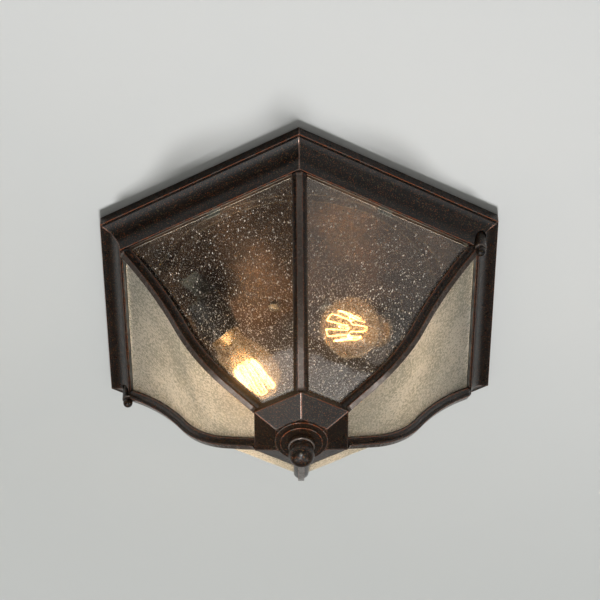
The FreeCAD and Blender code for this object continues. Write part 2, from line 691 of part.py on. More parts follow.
def pan_screws():
    one = screw(PAN_SCREW_RADIUS, PAN_SCREW_HEAD_RADIUS, PAN_SCREW_HEAD_HEIGHT, 0, pan_disc_bottom())
    return Part.makeCompound([moved(one, x, y, 0) for x, y in pan_screw_places()])


def ground_screw():
    seat = -CROSSBAR_THICKNESS
    head = nut(GROUND_HEAD_ACROSS, seat - GROUND_HEAD_HEIGHT, seat, GROUND_SCREW_RADIUS / 2)
    core = cylinder(GROUND_SCREW_RADIUS, seat - GROUND_HEAD_HEIGHT, 0)
    return moved(head.fuse(core), GROUND_SCREW_OFFSET, 0, 0)


def wire_bushing():
    """Grommet in the pan: a sleeve with a lip on both faces of the sheet."""
    bore = BUSHING_BORE_RADIUS
    sleeve = bore + BUSHING_WALL
    lip = sleeve + BUSHING_FLANGE
    top = -PAN_DISC_DROP
    low = pan_disc_bottom()
    body = revolved([(bore, low - SHEET), (lip, low - SHEET), (lip, low), (sleeve, low),
                     (sleeve, top), (lip, top), (lip, top + SHEET), (bore, top + SHEET)])
    return moved(body, 0, BUSHING_OFFSET, 0)


def insulation_pad():
    """Flat fibre ring between the pan's flange and the ceiling."""
    low = -PAN_DEPTH + SHEET
    pad = prism(PAN_CORNER - PAD_SIDE_GAP - SHEET, low, -PAD_TOP_GAP)
    pad = pad.cut(cylinder(PAN_RECESS_RADIUS + 2 * SHEET + PAD_SIDE_GAP, low, 0))
    hole = cylinder(STUD_HEAD_RADIUS + PAD_STUD_CLEARANCE, low, 0)
    for place in at_knobs(hole):
        pad = pad.cut(place)
    return pad


def stud():
    """Pressed-in post: its head lies on the pan's flange, its end stands in a knob."""
    seat = -PAN_DEPTH + SHEET
    head = cylinder(STUD_HEAD_RADIUS, seat, seat + STUD_HEAD_HEIGHT)
    return head.fuse(cylinder(STUD_RADIUS, PLATE_BOTTOM - STUD_ENGAGED, seat))


# ---------------------------------------------------------------- lamps
class Lamp:
    """One socket with its bracket and lamp; s runs along its axis from the mouth."""

    def __init__(self, turn):
        heading = math.radians(LAMP_HEADING + turn)
        dip = math.radians(LAMP_DIP)
        self.level = Vector(math.cos(heading), math.sin(heading), 0)
        self.axis = self.level * math.cos(dip) - UP * math.sin(dip)
        self.mouth = polar(SOCKET_MOUTH_RADIUS, SOCKET_MOUTH_ANGLE + turn, -SOCKET_MOUTH_DROP)
        self.rotation = FreeCAD.Rotation(UP, self.axis)

    def placed(self, shape):
        copy = shape.copy()
        copy.Placement = FreeCAD.Placement(self.mouth, self.rotation).multiply(copy.Placement)
        return copy

    def rear(self):
        return self.mouth - self.axis * SOCKET_LENGTH

    def bend_reach(self):
        """Along the tab from the socket's centre to the pan."""
        back = self.rear() - self.axis * BRACKET_SHEET
        return (pan_disc_bottom() - BRACKET_SHEET - back.z) / math.cos(math.radians(LAMP_DIP))

    def bend_distance(self):
        """Level distance of the bend from the socket's rear."""
        return self.bend_reach() * math.sin(math.radians(LAMP_DIP))

    def rivet_place(self):
        back = self.rear() - self.axis * BRACKET_SHEET
        reach = self.bend_distance() - BRACKET_FOOT_LENGTH + RIVET_INSET
        return back + self.level * reach


LAMPS = {"left": Lamp(0.0), "right": Lamp(180.0)}


def socket_bracket(lamp):
    """Bent strip: a tab behind the socket and a foot under the pan."""
    back = lamp.rear() - lamp.axis * BRACKET_SHEET
    dip = math.radians(LAMP_DIP)
    climb = lamp.level * math.sin(dip) + UP * math.cos(dip)
    side = lamp.level.cross(UP)
    top = pan_disc_bottom()
    front = lamp.axis * BRACKET_SHEET
    tail = back - climb * BRACKET_TAIL
    bend = back + climb * lamp.bend_reach()
    end = Vector(bend.x, bend.y, top) - lamp.level * BRACKET_FOOT_LENGTH
    crest = bend + front + climb * ((top - bend.z - front.z) / climb.z)
    outline = [tail, bend, end - UP * BRACKET_SHEET, end, crest, tail + front]
    start = side * (-BRACKET_WIDTH / 2)
    face = Part.Face(Part.makePolygon([point + start for point in outline + outline[:1]]))
    strip = face.extrude(side * BRACKET_WIDTH)
    place = lamp.rivet_place()
    strip = strip.cut(cylinder(RIVET_RADIUS + RUN_GAP, -SPAN, SPAN, place.x, place.y))
    hole = Part.makeCylinder(SOCKET_SCREW_RADIUS + HOLE_GAP, BRACKET_SHEET, back, lamp.axis)
    return strip.cut(hole)


def bracket_rivets():
    rivets = []
    for lamp in LAMPS.values():
        place = lamp.rivet_place()
        seat = pan_disc_bottom() - BRACKET_SHEET
        shank = cylinder(RIVET_RADIUS, seat, -PAN_DISC_DROP, place.x, place.y)
        low = cylinder(RIVET_HEAD_RADIUS, seat - RIVET_HEAD_HEIGHT, seat, place.x, place.y)
        high = cylinder(RIVET_HEAD_RADIUS, -PAN_DISC_DROP, -PAN_DISC_DROP + SHEET, place.x, place.y)
        rivets.append(shank.multiFuse([low, high]))
    return Part.makeCompound(rivets)


def socket_screws():
    screws = []
    for lamp in LAMPS.values():
        rear = -SOCKET_LENGTH
        head = cylinder(SOCKET_SCREW_HEAD_RADIUS, rear - BRACKET_SHEET - SOCKET_SCREW_HEAD_HEIGHT,
                        rear - BRACKET_SHEET)
        shank = cylinder(SOCKET_SCREW_RADIUS, rear - BRACKET_SHEET, rear + SOCKET_SCREW_DEPTH)
        screws.append(lamp.placed(head.fuse(shank)))
    return Part.makeCompound(screws)


def socket_body(lamp):
    """Moulded cup with a thicker band round its mouth and a floor for the contact."""
    rear = -SOCKET_LENGTH
    inner = SOCKET_RADIUS - SOCKET_WALL
    waist = SOCKET_RADIUS - SOCKET_RIM_STEP
    cup = revolved([(0, rear), (waist, rear), (waist, -SOCKET_RIM_WIDTH),
                    (SOCKET_RADIUS, -SOCKET_RIM_WIDTH), (SOCKET_RADIUS, 0), (inner, 0),
                    (inner, rear + SOCKET_FLOOR), (0, rear + SOCKET_FLOOR)])
    hole = cylinder(SOCKET_SCREW_RADIUS + RUN_GAP, rear, rear + SOCKET_SCREW_DEPTH)
    return lamp.placed(cup.cut(hole))


def socket_shell(lamp):
    """Plain sleeve that stands for the threaded shell."""
    inner = BASE_RADIUS + RUN_GAP
    outer = inner + SHELL_WALL
    floor = -SOCKET_LENGTH + SOCKET_FLOOR
    low = floor + SHELL_WALL
    return lamp.placed(revolved([
        (CONTACT_RADIUS + SHELL_WALL, floor), (outer, floor), (outer, floor + SHELL_LENGTH),
        (inner, floor + SHELL_LENGTH), (inner, low), (CONTACT_RADIUS + SHELL_WALL, low)]))


def socket_contact(lamp):
    floor = -SOCKET_LENGTH + SOCKET_FLOOR
    return lamp.placed(cylinder(CONTACT_RADIUS, floor, floor + CONTACT_HEIGHT))


def base_bottom():
    return -SOCKET_LENGTH + SOCKET_FLOOR + CONTACT_HEIGHT + MOVE_GAP


def base_top():
    return base_bottom() + BASE_TIP_HEIGHT + BASE_LENGTH


def bulb_base(lamp):
    """Hollow screw base: a centre tip, a cone and a wall with rounded rings for its thread."""
    tip = base_bottom()
    low = tip + BASE_TIP_HEIGHT
    root = BASE_RADIUS - BASE_THREAD_DEPTH
    pitch = BASE_THREAD_PITCH
    points = [(0, tip), (BASE_TIP_RADIUS, tip), (root, low)]
    for n in range(BASE_THREADS):
        start = low + n * pitch
        points += [(root, start + 0.25 * pitch), (BASE_RADIUS, start + 0.5 * pitch),
                   (BASE_RADIUS, start + 0.6 * pitch), (root, start + 0.85 * pitch)]
    points += [(root, base_top()), (root - BASE_WALL, base_top()), (root - BASE_WALL, low),
               (0, low - BASE_WALL)]
    return lamp.placed(revolved(points))


def envelope_outline(inset):
    """Half outline of the envelope's outer or inner face, from the neck to the tip."""
    bottom = base_top()
    neck = ENVELOPE_NECK_RADIUS - inset
    radius = ENVELOPE_RADIUS - inset
    centre = ENVELOPE_REACH - ENVELOPE_RADIUS
    neck_top = bottom + ENVELOPE_NECK_LENGTH
    drop = centre - neck_top
    distance = math.hypot(drop, neck)
    turn = math.degrees(math.atan2(-drop, neck)) + math.degrees(math.acos(radius / distance))
    touch = round_point(0, centre, radius, turn)
    tip = Vector(0, 0, centre + radius)
    return [Vector(neck, 0, bottom), Vector(neck, 0, neck_top), touch,
            round_point(0, centre, radius, (turn + 90) / 2), tip]


def bulb_glass(lamp):
    outer = envelope_outline(0.0)
    inner = envelope_outline(ENVELOPE_WALL)
    edges = [line(outer[0], outer[1]), line(outer[1], outer[2]), arc(outer[2], outer[3], outer[4]),
             line(outer[4], inner[4]), arc(inner[4], inner[3], inner[2]), line(inner[2], inner[1]),
             line(inner[1], inner[0]), line(inner[0], outer[0])]
    return lamp.placed(revolved_edges(edges))


def bulb_stem(lamp):
    """Glass flare and rod that carry the filament, with a hub at each end of it."""
    low = base_top()
    start = low + ENVELOPE_NECK_LENGTH + FILAMENT_START
    end = start + FILAMENT_LENGTH
    rod_end = start - STEM_RADIUS
    flare = ENVELOPE_NECK_RADIUS - ENVELOPE_WALL - FIT_GAP / 2
    wire = STEM_RADIUS / 3
    body = revolved([(flare - ENVELOPE_WALL, low), (flare, low), (flare, low + ENVELOPE_WALL),
                     (STEM_RADIUS, low + STEM_FLARE_HEIGHT), (STEM_RADIUS, rod_end),
                     (wire, rod_end + STEM_RADIUS), (wire, end), (0, end),
                     (0, low + STEM_FLARE_HEIGHT - ENVELOPE_WALL)])
    hubs = [cylinder(HUB_RADIUS, height - HUB_HEIGHT / 2, height + HUB_HEIGHT / 2)
            for height in (start, end)]
    return lamp.placed(body.multiFuse(hubs))


def bulb_filament(lamp):
    """Long wire that runs up and down round the stem, held by spokes at both hubs."""
    start = base_top() + ENVELOPE_NECK_LENGTH + FILAMENT_START
    end = start + FILAMENT_LENGTH
    points = []
    for n in range(FILAMENT_LEGS):
        angle = n * 360.0 / FILAMENT_LEGS
        low = polar(FILAMENT_CAGE_RADIUS, angle, start)
        high = polar(FILAMENT_TOP_RADIUS, angle, end)
        points += [low, high] if n % 2 == 0 else [high, low]
    runs = list(zip(points, points[1:]))
    for n in range(0, 2 * FILAMENT_LEGS, 4):
        low = points[n]
        runs.append((Vector(0, 0, low.z), low))
    for n in range(1, 2 * FILAMENT_LEGS, 4):
        high = points[n]
        runs.append((Vector(0, 0, high.z), high))
    wires = [Part.makeCylinder(FILAMENT_RADIUS, (b - a).Length, a, b - a) for a, b in runs]
    wires += [Part.makeSphere(FILAMENT_RADIUS, point) for point in points]
    wire = wires[0].multiFuse(wires[1:])
    for height in (start, end):
        wire = wire.cut(cylinder(HUB_RADIUS, height - HUB_HEIGHT / 2, height + HUB_HEIGHT / 2))
    return lamp.placed(wire)


# ---------------------------------------------------------------- nodes
def build():
    clips, clip_screws = glass_clips()
    nodes = {
        "ceiling_pan": ceiling_pan(),
        "mounting_crossbar": crossbar(),
        "pan_screws": pan_screws(),
        "ground_screw": ground_screw(),
        "wire_bushing": wire_bushing(),
        "insulation_pad": insulation_pad(),
        "bracket_rivets": bracket_rivets(),
        "socket_screws": socket_screws(),
        "frame_moulding": frame_moulding(),
        "seat_rails": seat_rails(),
        "corner_plates": corner_plates(),
        "glass_clips": clips,
        "glass_clip_screws": clip_screws,
        "bottom_cap": bottom_cap(),
        "clamp_plate": clamp_plate(),
        "tie_bolt": tie_bolt(),
        "tie_bolt_nut": bolt_nut(),
        "finial_washer": finial_washer(),
        "finial_ball": finial_ball(),
    }
    for name, k in knob_corners().items():
        place = knob_places()[k]
        nodes["knob_" + name] = moved(knob(), place.x, place.y, 0)
        nodes["stud_" + name] = moved(stud(), place.x, place.y, 0)
    for k in range(SIDES):
        nodes["rib_%d" % (k + 1)] = rib(k)
        nodes["rib_liner_%d" % (k + 1)] = rib_liner(k)
        nodes["glass_panel_%d" % (k + 1)] = glass_panel(k)
    for name, lamp in LAMPS.items():
        nodes["socket_bracket_" + name] = socket_bracket(lamp)
        nodes["socket_body_" + name] = socket_body(lamp)
        nodes["socket_shell_" + name] = socket_shell(lamp)
        nodes["socket_contact_" + name] = socket_contact(lamp)
        nodes["bulb_base_" + name] = bulb_base(lamp)
        nodes["bulb_glass_" + name] = bulb_glass(lamp)
        nodes["bulb_stem_" + name] = bulb_stem(lamp)
        nodes["bulb_filament_" + name] = bulb_filament(lamp)
    return nodes


os.makedirs("parts", exist_ok=True)
for node, shape in build().items():
    shape.exportStep("parts/%s.step" % node)
    print(node, len(shape.Solids), round(shape.Volume, 1), shape.isValid())
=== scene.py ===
"""Looks of a hexagonal porch ceiling lantern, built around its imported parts.

Metres, in the frame of the parts: the ceiling is the plane z = 0, the lantern hangs
along -Z, and corner 0 of its hexagon is on -Y. The sizes are those of the parts.
"""
import cmath
import json
import logging
import math
from collections.abc import Sequence
from dataclasses import dataclass, field
from enum import Enum

import bmesh
import bpy
import numpy as np
from bpy.types import Collection, Material, Mesh, NodeSocket, NodeTree, Object
from mathutils import Matrix, Vector

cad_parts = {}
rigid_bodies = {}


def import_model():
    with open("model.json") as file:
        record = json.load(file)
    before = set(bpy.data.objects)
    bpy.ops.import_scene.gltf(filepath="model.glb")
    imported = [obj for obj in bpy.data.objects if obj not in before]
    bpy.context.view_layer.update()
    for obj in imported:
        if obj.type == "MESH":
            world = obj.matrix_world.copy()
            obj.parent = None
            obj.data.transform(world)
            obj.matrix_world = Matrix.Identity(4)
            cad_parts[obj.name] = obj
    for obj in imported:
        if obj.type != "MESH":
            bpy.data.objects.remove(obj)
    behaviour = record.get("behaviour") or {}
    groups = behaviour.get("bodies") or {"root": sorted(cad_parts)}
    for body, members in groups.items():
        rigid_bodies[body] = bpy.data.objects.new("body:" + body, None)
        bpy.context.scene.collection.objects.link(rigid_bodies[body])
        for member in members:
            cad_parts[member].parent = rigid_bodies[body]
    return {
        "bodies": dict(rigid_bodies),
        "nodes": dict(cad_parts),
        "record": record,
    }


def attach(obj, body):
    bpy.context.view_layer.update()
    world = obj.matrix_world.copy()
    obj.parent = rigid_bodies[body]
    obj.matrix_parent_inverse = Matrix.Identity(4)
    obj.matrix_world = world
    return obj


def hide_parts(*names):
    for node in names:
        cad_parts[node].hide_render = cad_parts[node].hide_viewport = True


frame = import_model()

LOG = logging.getLogger("lantern")
MM = 0.001
SIDES = 6
STEP = math.tau / SIDES
TO_SIDE = math.cos(STEP / 2)        # corner radius to distance of a side
TO_HALF = math.tan(STEP / 2)        # distance of a side to half its length
FIRST_SIDE = -math.pi / 2 + STEP / 2
FIRST_CORNER = -math.pi / 2
UP = Vector((0, 0, 1))
CAGE = "glass_cage"
MOUNT = "ceiling_mount"
BRONZE = "oil_rubbed_bronze"
FINIAL = "neck_and_ball"
RUB_AND_SHEEN = "rub"                         # attribute: 1 where an edge is rubbed bare; it also carries the bronze's painted sheen and the pan's painted highlight on its bends
SMOOTH = {"interpolation_type": "SMOOTHSTEP"}
TIMES = {"operation": "MULTIPLY"}


class Shadow(Enum):
    """Whether a piece stops the light of the lamps."""

    STOPS = True
    LETS_THROUGH = False


class Lit(Enum):
    """Which things a light of the room falls on."""

    CEILING = 0
    OBJECT = 1
    FINIAL = 2


# ------------------------------------------------------------------ nodes
def linear(hex_colour: str) -> tuple[float, float, float, float]:
    """Turns an sRGB hex value to linear colour.

    Args:
        hex_colour: Six hex digits after a hash sign.

    Returns:
        Red, green and blue in linear light, and an alpha of 1.
    """
    parts = [int(hex_colour[start:start + 2], 16) / 255 for start in (1, 3, 5)]
    red, green, blue = (part / 12.92 if part <= 0.04045 else ((part + 0.055) / 1.055) ** 2.4
                        for part in parts)
    return red, green, blue, 1.0


class Tree:
    """A node tree under construction."""

    def __init__(self, tree: NodeTree) -> None:
        """Takes a tree and empties it."""
        self.tree = tree
        tree.nodes.clear()

    def add(self, kind: str, links: dict | None = None, out: int | str = 0,
            **settings: object) -> NodeSocket | None:
        """Adds one node.

        Args:
            kind: The node's type name.
            links: For each input, by name or number, a socket to link or a plain value.
            out: The output that is wanted, by name or number.
            **settings: The node's own settings.

        Returns:
            The wanted output, or None if the node has no outputs.
        """
        node = self.tree.nodes.new(kind)
        for name, value in settings.items():
            setattr(node, name, value)
        for name, value in (links or {}).items():
            if isinstance(value, NodeSocket):
                self.tree.links.new(value, node.inputs[name])
            else:
                node.inputs[name].default_value = value
        return node.outputs[out] if node.outputs else None


class Recipe(Tree):
    """A material under construction, with patterns of real sizes in object space."""

    def __init__(self, name: str) -> None:
        """Starts an empty material.

        Args:
            name: The material's name.
        """
        self.material = bpy.data.materials.new(name)
        self.material.use_nodes = True
        super().__init__(self.material.node_tree)
        self.place = self.add("ShaderNodeTexCoord", out="Object")

    def grain(self, size: float, detail: float = 2.0,
              stretch: Sequence[float] = ()) -> NodeSocket:
        """Spreads even noise.

        Args:
            size: Size of one blotch, in metres.
            detail: Octaves of finer noise.
            stretch: Scale along each axis, if the noise is drawn out.

        Returns:
            The noise, from 0 to 1.
        """
        place = self.place
        if stretch:
            place = self.add("ShaderNodeMapping", {"Vector": place, "Scale": stretch})
        links = {"Vector": place, "Scale": 0.5 / size, "Detail": detail, "Roughness": 0.5}
        return self.add("ShaderNodeTexNoise", links)

    def patches(self, size: float, low: float, high: float, detail: float = 2.0,
                stretch: Sequence[float] = ()) -> NodeSocket:
        """Spreads patches of a size, which start and end softly between two levels of noise."""
        noise = self.grain(size, detail, stretch)
        return self.add("ShaderNodeMapRange", {0: noise, 1: low, 2: high}, **SMOOTH)

    def layers(self, base: str, *over: tuple[NodeSocket, str]) -> NodeSocket:
        """Lays colours over one another.

        Args:
            base: The lowest colour.
            *over: Share and colour of each layer over it.

        Returns:
            The colour that shows.
        """
        shown = linear(base)
        for share, colour in over:
            shown = self.add("ShaderNodeMix", {0: share, 6: shown, 7: linear(colour)}, 2, data_type="RGBA")
        return shown

    def close(self, inputs: dict, relief: Sequence = (), veil: Sequence = ()) -> Material:
        """Ends the material with its main shader.

        Args:
            inputs: The main shader's inputs.
            relief: Height, depth in metres and strength of a relief, if it has one.
            veil: Share and shader that lie over the main one, if any.

        Returns:
            The material.
        """
        if relief:
            links = dict(zip(("Height", "Distance", "Strength"), relief))
            inputs["Normal"] = self.add("ShaderNodeBump", links)
        surface = self.add("ShaderNodeBsdfPrincipled", inputs)
        if veil:
            surface = self.add("ShaderNodeMixShader", {0: veil[0], 1: surface, 2: veil[1]})
        self.add("ShaderNodeOutputMaterial", {"Surface": surface})
        return self.material


# ------------------------------------------------------------------ finishes
@dataclass(frozen=True)
class RubbedBronze:
    """Oil-rubbed bronze: lacquer sprayed on cast metal, its edges rubbed through.

    It gives the eye a satin, nearly black brown with a neutral grey sheen, fine copper and
    straw flecks from the spray, and thin copper lines where an edge is bare. Handled
    edges are pale burnished grey: partly polish, partly a painted sheen.
    """

    dark: str = "#080706"
    brown: str = "#110c0a"
    fleck: str = "#6a3c1f"
    straw: str = "#4a4029"
    copper: str = "#925235"
    # burnished: polished grey on handled edges, partly a painted sheen
    burnished_sheen: str = "#776d66"
    cloud_size: float = 9 * MM
    droplet: float = 0.45 * MM          # a spray's droplets, drawn as coarse as they show
    stray_droplet: float = 0.63 * MM
    wear_size: float = 2.4 * MM         # patches that the rubbing went through
    gloss_size: float = 2.2 * MM
    peel_size: float = 0.7 * MM         # the lacquer's orange peel
    peel_depth: float = 0.03 * MM
    roughness: float = 0.31
    sheen: float = 0.34
    burnish_sheen: float = 0.8                # share of the burnished grey, partly a painted sheen, on a handled edge

    def make(self) -> Material:
        """Builds the material.

        Returns:
            The material.
        """
        lacquer = Recipe("oil_rubbed_bronze_lacquer")
        wear_and_sheen = lacquer.add("ShaderNodeAttribute", out="Fac", attribute_name=RUB_AND_SHEEN, attribute_type="GEOMETRY")
        cloud = lacquer.patches(self.cloud_size, 0.4, 0.65, 3)
        fleck = lacquer.patches(self.droplet, 0.6, 0.69, 1)
        straw = lacquer.patches(self.stray_droplet, 0.63, 0.7, 1, (1.1, 0.9, 1.05))
        patchy = lacquer.patches(self.wear_size, 0.36, 0.56, 3)
        edge = lacquer.add("ShaderNodeMapRange", {0: wear_and_sheen, 1: 0.5, 2: 0.88}, **SMOOTH)
        bare = lacquer.add("ShaderNodeMath", {0: edge, 1: patchy}, **TIMES)
        # Handled parts turn burnished grey, metallic and glossier: partly polish, partly a painted sheen.
        handled_sheen = lacquer.add("ShaderNodeMapRange", {0: wear_and_sheen, 1: 0.15, 2: 0.4}, **SMOOTH)
        shine = lacquer.add("ShaderNodeMath", {0: handled_sheen, 1: self.burnish_sheen}, **TIMES)
        colour = lacquer.layers(self.dark, (cloud, self.brown), (fleck, self.fleck), (straw, self.straw),
                                (shine, self.burnished_sheen), (bare, self.copper))
        half_bare = lacquer.add("ShaderNodeMath", {0: handled_sheen, 1: 0.55}, **TIMES)
        all_bare = lacquer.add("ShaderNodeMath", {0: bare, 1: 0.9}, **TIMES)
        metallic = lacquer.add("ShaderNodeMath", {0: half_bare, 1: all_bare}, operation="MAXIMUM")
        dull = lacquer.add("ShaderNodeMapRange", {0: lacquer.patches(self.gloss_size, 0.3, 0.7, 3),
                                                  3: self.roughness - 0.04, 4: self.roughness + 0.06})
        rough = lacquer.add("ShaderNodeMath", {0: handled_sheen, 1: -0.08, 2: dull}, operation="MULTIPLY_ADD")
        return lacquer.close({"Base Color": colour, "Metallic": metallic, "Roughness": rough,
                              "Specular IOR Level": self.sheen},
                             (lacquer.grain(self.peel_size), self.peel_depth, 0.5))


@dataclass(frozen=True)
class PanEnamel:
    """Bronze enamel baked on pressed sheet steel, inside the pan.

    It gives the eye a warm brown that mirrors the lamps as blurred copper glows. Where the
    sheet bends it is painted paler: a painted highlight along the bends.
    """

    low: str = "#2e221a"
    high: str = "#4a3729"
    # the colour of the painted highlight along the bends
    bend: str = "#5d5347"
    cloud_size: float = 22 * MM
    peel_size: float = 1.6 * MM
    peel_depth: float = 0.03 * MM
    metallic: float = 0.55
    roughness: float = 0.36

    def make(self) -> Material:
        """Builds the material.

        Returns:
            The material.
        """
        enamel = Recipe("baked_bronze_enamel")
        wear_and_sheen = enamel.add("ShaderNodeAttribute", out="Fac", attribute_name=RUB_AND_SHEEN, attribute_type="GEOMETRY")
        cloud = enamel.patches(self.cloud_size, 0.35, 0.7, 3)
        # the bends' mark lays the painted highlight colour over the enamel
        colour = enamel.layers(self.low, (cloud, self.high), (wear_and_sheen, self.bend))
        return enamel.close({"Base Color": colour, "Metallic": self.metallic, "Roughness": self.roughness},
                            (enamel.grain(self.peel_size), self.peel_depth, 0.4))


@dataclass(frozen=True)
class Metal:
    """Plain metal, plated, lacquered or drawn: soft clouds in its colour and its gloss."""

    name: str
    colour: str
    shade: str
    roughness: float
    metallic: float = 1.0
    cloud_size: float = 6 * MM
    grain_size: float = 1.2 * MM
    grain_depth: float = 0.01 * MM

    def make(self) -> Material:
        """Builds the material.

        Returns:
            The material.
        """
        metal = Recipe(self.name)
        grain = metal.grain(self.grain_size)
        cloud = metal.patches(self.cloud_size, 0.35, 0.7, 3)
        rough = metal.add("ShaderNodeMapRange", {0: grain, 1: 0.3, 2: 0.7, 3: self.roughness - 0.06,
                                                 4: self.roughness + 0.08}, **SMOOTH)
        return metal.close({"Base Color": metal.layers(self.shade, (cloud, self.colour)),
                            "Metallic": self.metallic, "Roughness": rough}, (grain, self.grain_depth, 0.3))


@dataclass(frozen=True)
class Moulded:
    """Moulded or pressed stuff: a fine even grain and faint clouds in its colour."""

    name: str
    colour: str
    shade: str
    roughness: float
    grain_size: float
    grain_depth: float

    def make(self) -> Material:
        """Builds the material.

        Returns:
            The material.
        """
        stuff = Recipe(self.name)
        cloud = stuff.patches(self.grain_size * 5, 0.35, 0.7, 3)
        return stuff.close({"Base Color": stuff.layers(self.shade, (cloud, self.colour)),
                            "Roughness": self.roughness},
                           (stuff.grain(self.grain_size), self.grain_depth, 0.6))


@dataclass(frozen=True)
class SeededGlass:
    """Soda-lime glass, rolled in sheets and bent, with air left in it.

    It gives the eye slow waves and a fine grain. It is clear from the front, and at
    a slant it turns milky, with grey streaks that the rolls drew out.
    """

    tint: str = "#fbf8f0"
    streaked: str = "#868c80"
    open_seed: str = "#cccec2"
    ior: float = 1.52
    smooth: float = 0.05
    dimpled: float = 0.88
    wave_size: float = 14 * MM
    dimple: float = 0.5 * MM
    relief: float = 0.04 * MM
    streak: float = 0.7 * MM
    broad_streak: float = 11.2 * MM
    speck: float = 0.6 * MM             # seeds that broke open, drawn as coarse as they show
    front: float = 0.15                 # how slanted the glass is where the haze starts
    slanted: float = 0.5                # how slanted it is where the haze is full

    def make(self) -> Material:
        """Builds the material.

        Returns:
            The material.
        """
        glass = Recipe("rolled_seeded_glass")
        dimples = glass.grain(self.dimple, 3, (1, 1, 0.5))
        slant = glass.add("ShaderNodeLayerWeight", {"Blend": 0.5}, "Facing")
        slanted = glass.add("ShaderNodeMapRange", {0: slant, 1: self.front, 2: self.slanted}, **SMOOTH)
        broad = glass.grain(self.broad_streak, 2, (1, 1, 0.4))
        fine = glass.grain(self.streak, 3, (1, 1, 0.35))
        drawn = glass.add("ShaderNodeMath", {0: broad, 1: 0.35, 2: fine}, operation="MULTIPLY_ADD")
        drawn = glass.add("ShaderNodeMapRange", {0: drawn, 1: 0.59, 2: 0.75, 3: 1.0, 4: 0.0}, **SMOOTH)
        streak = glass.add("ShaderNodeMath", {0: slanted, 1: drawn}, **TIMES)
        haze = glass.add("ShaderNodeMapRange", {0: dimples, 1: 0.36, 2: 0.62, 3: 0.6}, **SMOOTH)
        haze = glass.add("ShaderNodeMath", {0: slanted, 1: haze}, **TIMES)
        dent = glass.add("ShaderNodeMapRange", {0: dimples, 1: 0.6, 2: 0.69}, **SMOOTH)
        haze = glass.add("ShaderNodeMath", {0: haze, 1: dent}, operation="MAXIMUM")
        rough = glass.add("ShaderNodeMapRange", {0: haze, 3: self.smooth, 4: self.dimpled}, **SMOOTH)
        waves = glass.add("ShaderNodeMath", {0: glass.grain(self.wave_size, 1), 1: 4.0, 2: dimples},
                          operation="MULTIPLY_ADD")
        deep = glass.add("ShaderNodeMapRange", {0: slanted, 3: 0.35, 4: 1.0})
        specks = glass.patches(self.speck, 0.6, 0.7, 1, (1, 1, 0.7))
        specks = glass.add("ShaderNodeMapRange", {0: specks, 3: 0.2, 4: 0.8})
        milky = glass.add("ShaderNodeMath", {0: slanted, 1: specks}, **TIMES)
        white = glass.add("ShaderNodeBsdfDiffuse", {"Color": linear(self.open_seed)})
        through = glass.add("ShaderNodeBsdfTranslucent", {"Color": linear(self.open_seed)})
        milk = glass.add("ShaderNodeMixShader", {0: 0.6, 1: white, 2: through})
        return glass.close({"Base Color": glass.layers(self.tint, (streak, self.streaked)),
                            "Roughness": rough, "Transmission Weight": 1.0, "IOR": self.ior},
                           (waves, self.relief, deep), (milky, milk))


@dataclass(frozen=True)
class TrappedAir:
    """Air caught in the molten glass: small bubbles that throw light back, so they show white."""

    colour: str = "#f0f1f2"
    roughness: float = 0.35

    def make(self) -> Material:
        """Builds the material.

        Returns:
            The material.
        """
        air = Recipe("trapped_air_bubble")
        through = air.add("ShaderNodeBsdfTranslucent", {"Color": linear(self.colour)})
        return air.close({"Base Color": linear(self.colour), "Roughness": self.roughness}, (),
                         (0.5, through))


@dataclass(frozen=True)
class LampGlass:
    """Thin blown glass with a light amber coat: it warms what is seen through it."""

    tint: str = "#fff0d4"
    coat: str = "#ffd9a6"
    coat_share: float = 0.008
    ior: float = 1.5
    speck: float = 0.5 * MM
    wave_size: float = 9 * MM
    wave_depth: float = 0.02 * MM

    def make(self) -> Material:
        """Builds the material.

        Returns:
            The material.
        """
        glass = Recipe("amber_coated_lamp_glass")
        rough = glass.add("ShaderNodeMapRange", {0: glass.patches(self.speck, 0.54, 0.66), 3: 0.02, 4: 0.4})
        coat = glass.add("ShaderNodeBsdfTranslucent", {"Color": linear(self.coat)})
        return glass.close({"Base Color": linear(self.tint), "Roughness": rough,
                            "Transmission Weight": 1.0, "IOR": self.ior},
                           (glass.grain(self.wave_size, 1), self.wave_depth, 0.4), (self.coat_share, coat))


@dataclass(frozen=True)
class GlowingWire:
    """Drawn tungsten wire at about 2200 K: an amber line, too bright for its dark grey to show."""

    cold: str = "#3a3430"
    hot: str = "#ffc67c"
    strength: float = 13.0
    roughness: float = 0.5

    def make(self) -> Material:
        """Builds the material.

        Returns:
            The material.
        """
        wire = Recipe("glowing_tungsten_wire")
        wire.material.cycles.emission_sampling = "NONE"
        return wire.close({"Base Color": linear(self.cold), "Roughness": self.roughness,
                           "Emission Color": linear(self.hot), "Emission Strength": self.strength})


# ------------------------------------------------------------------ sections
@dataclass(frozen=True)
class Turn:
    """One corner of a section: its place, its rounding and how bare its edge is rubbed; the same mark also
    gives bronze a painted sheen and the pan's bends a painted highlight.
    """

    x: float
    y: float
    radius: float = 0.0
    rub: float = 0.0


@dataclass
class Section:
    """Points of a section, in order, with each point's mark of rubbed wear, which also carries painted sheen
    and the pan's painted highlight.
    """

    points: np.ndarray
    rub: np.ndarray


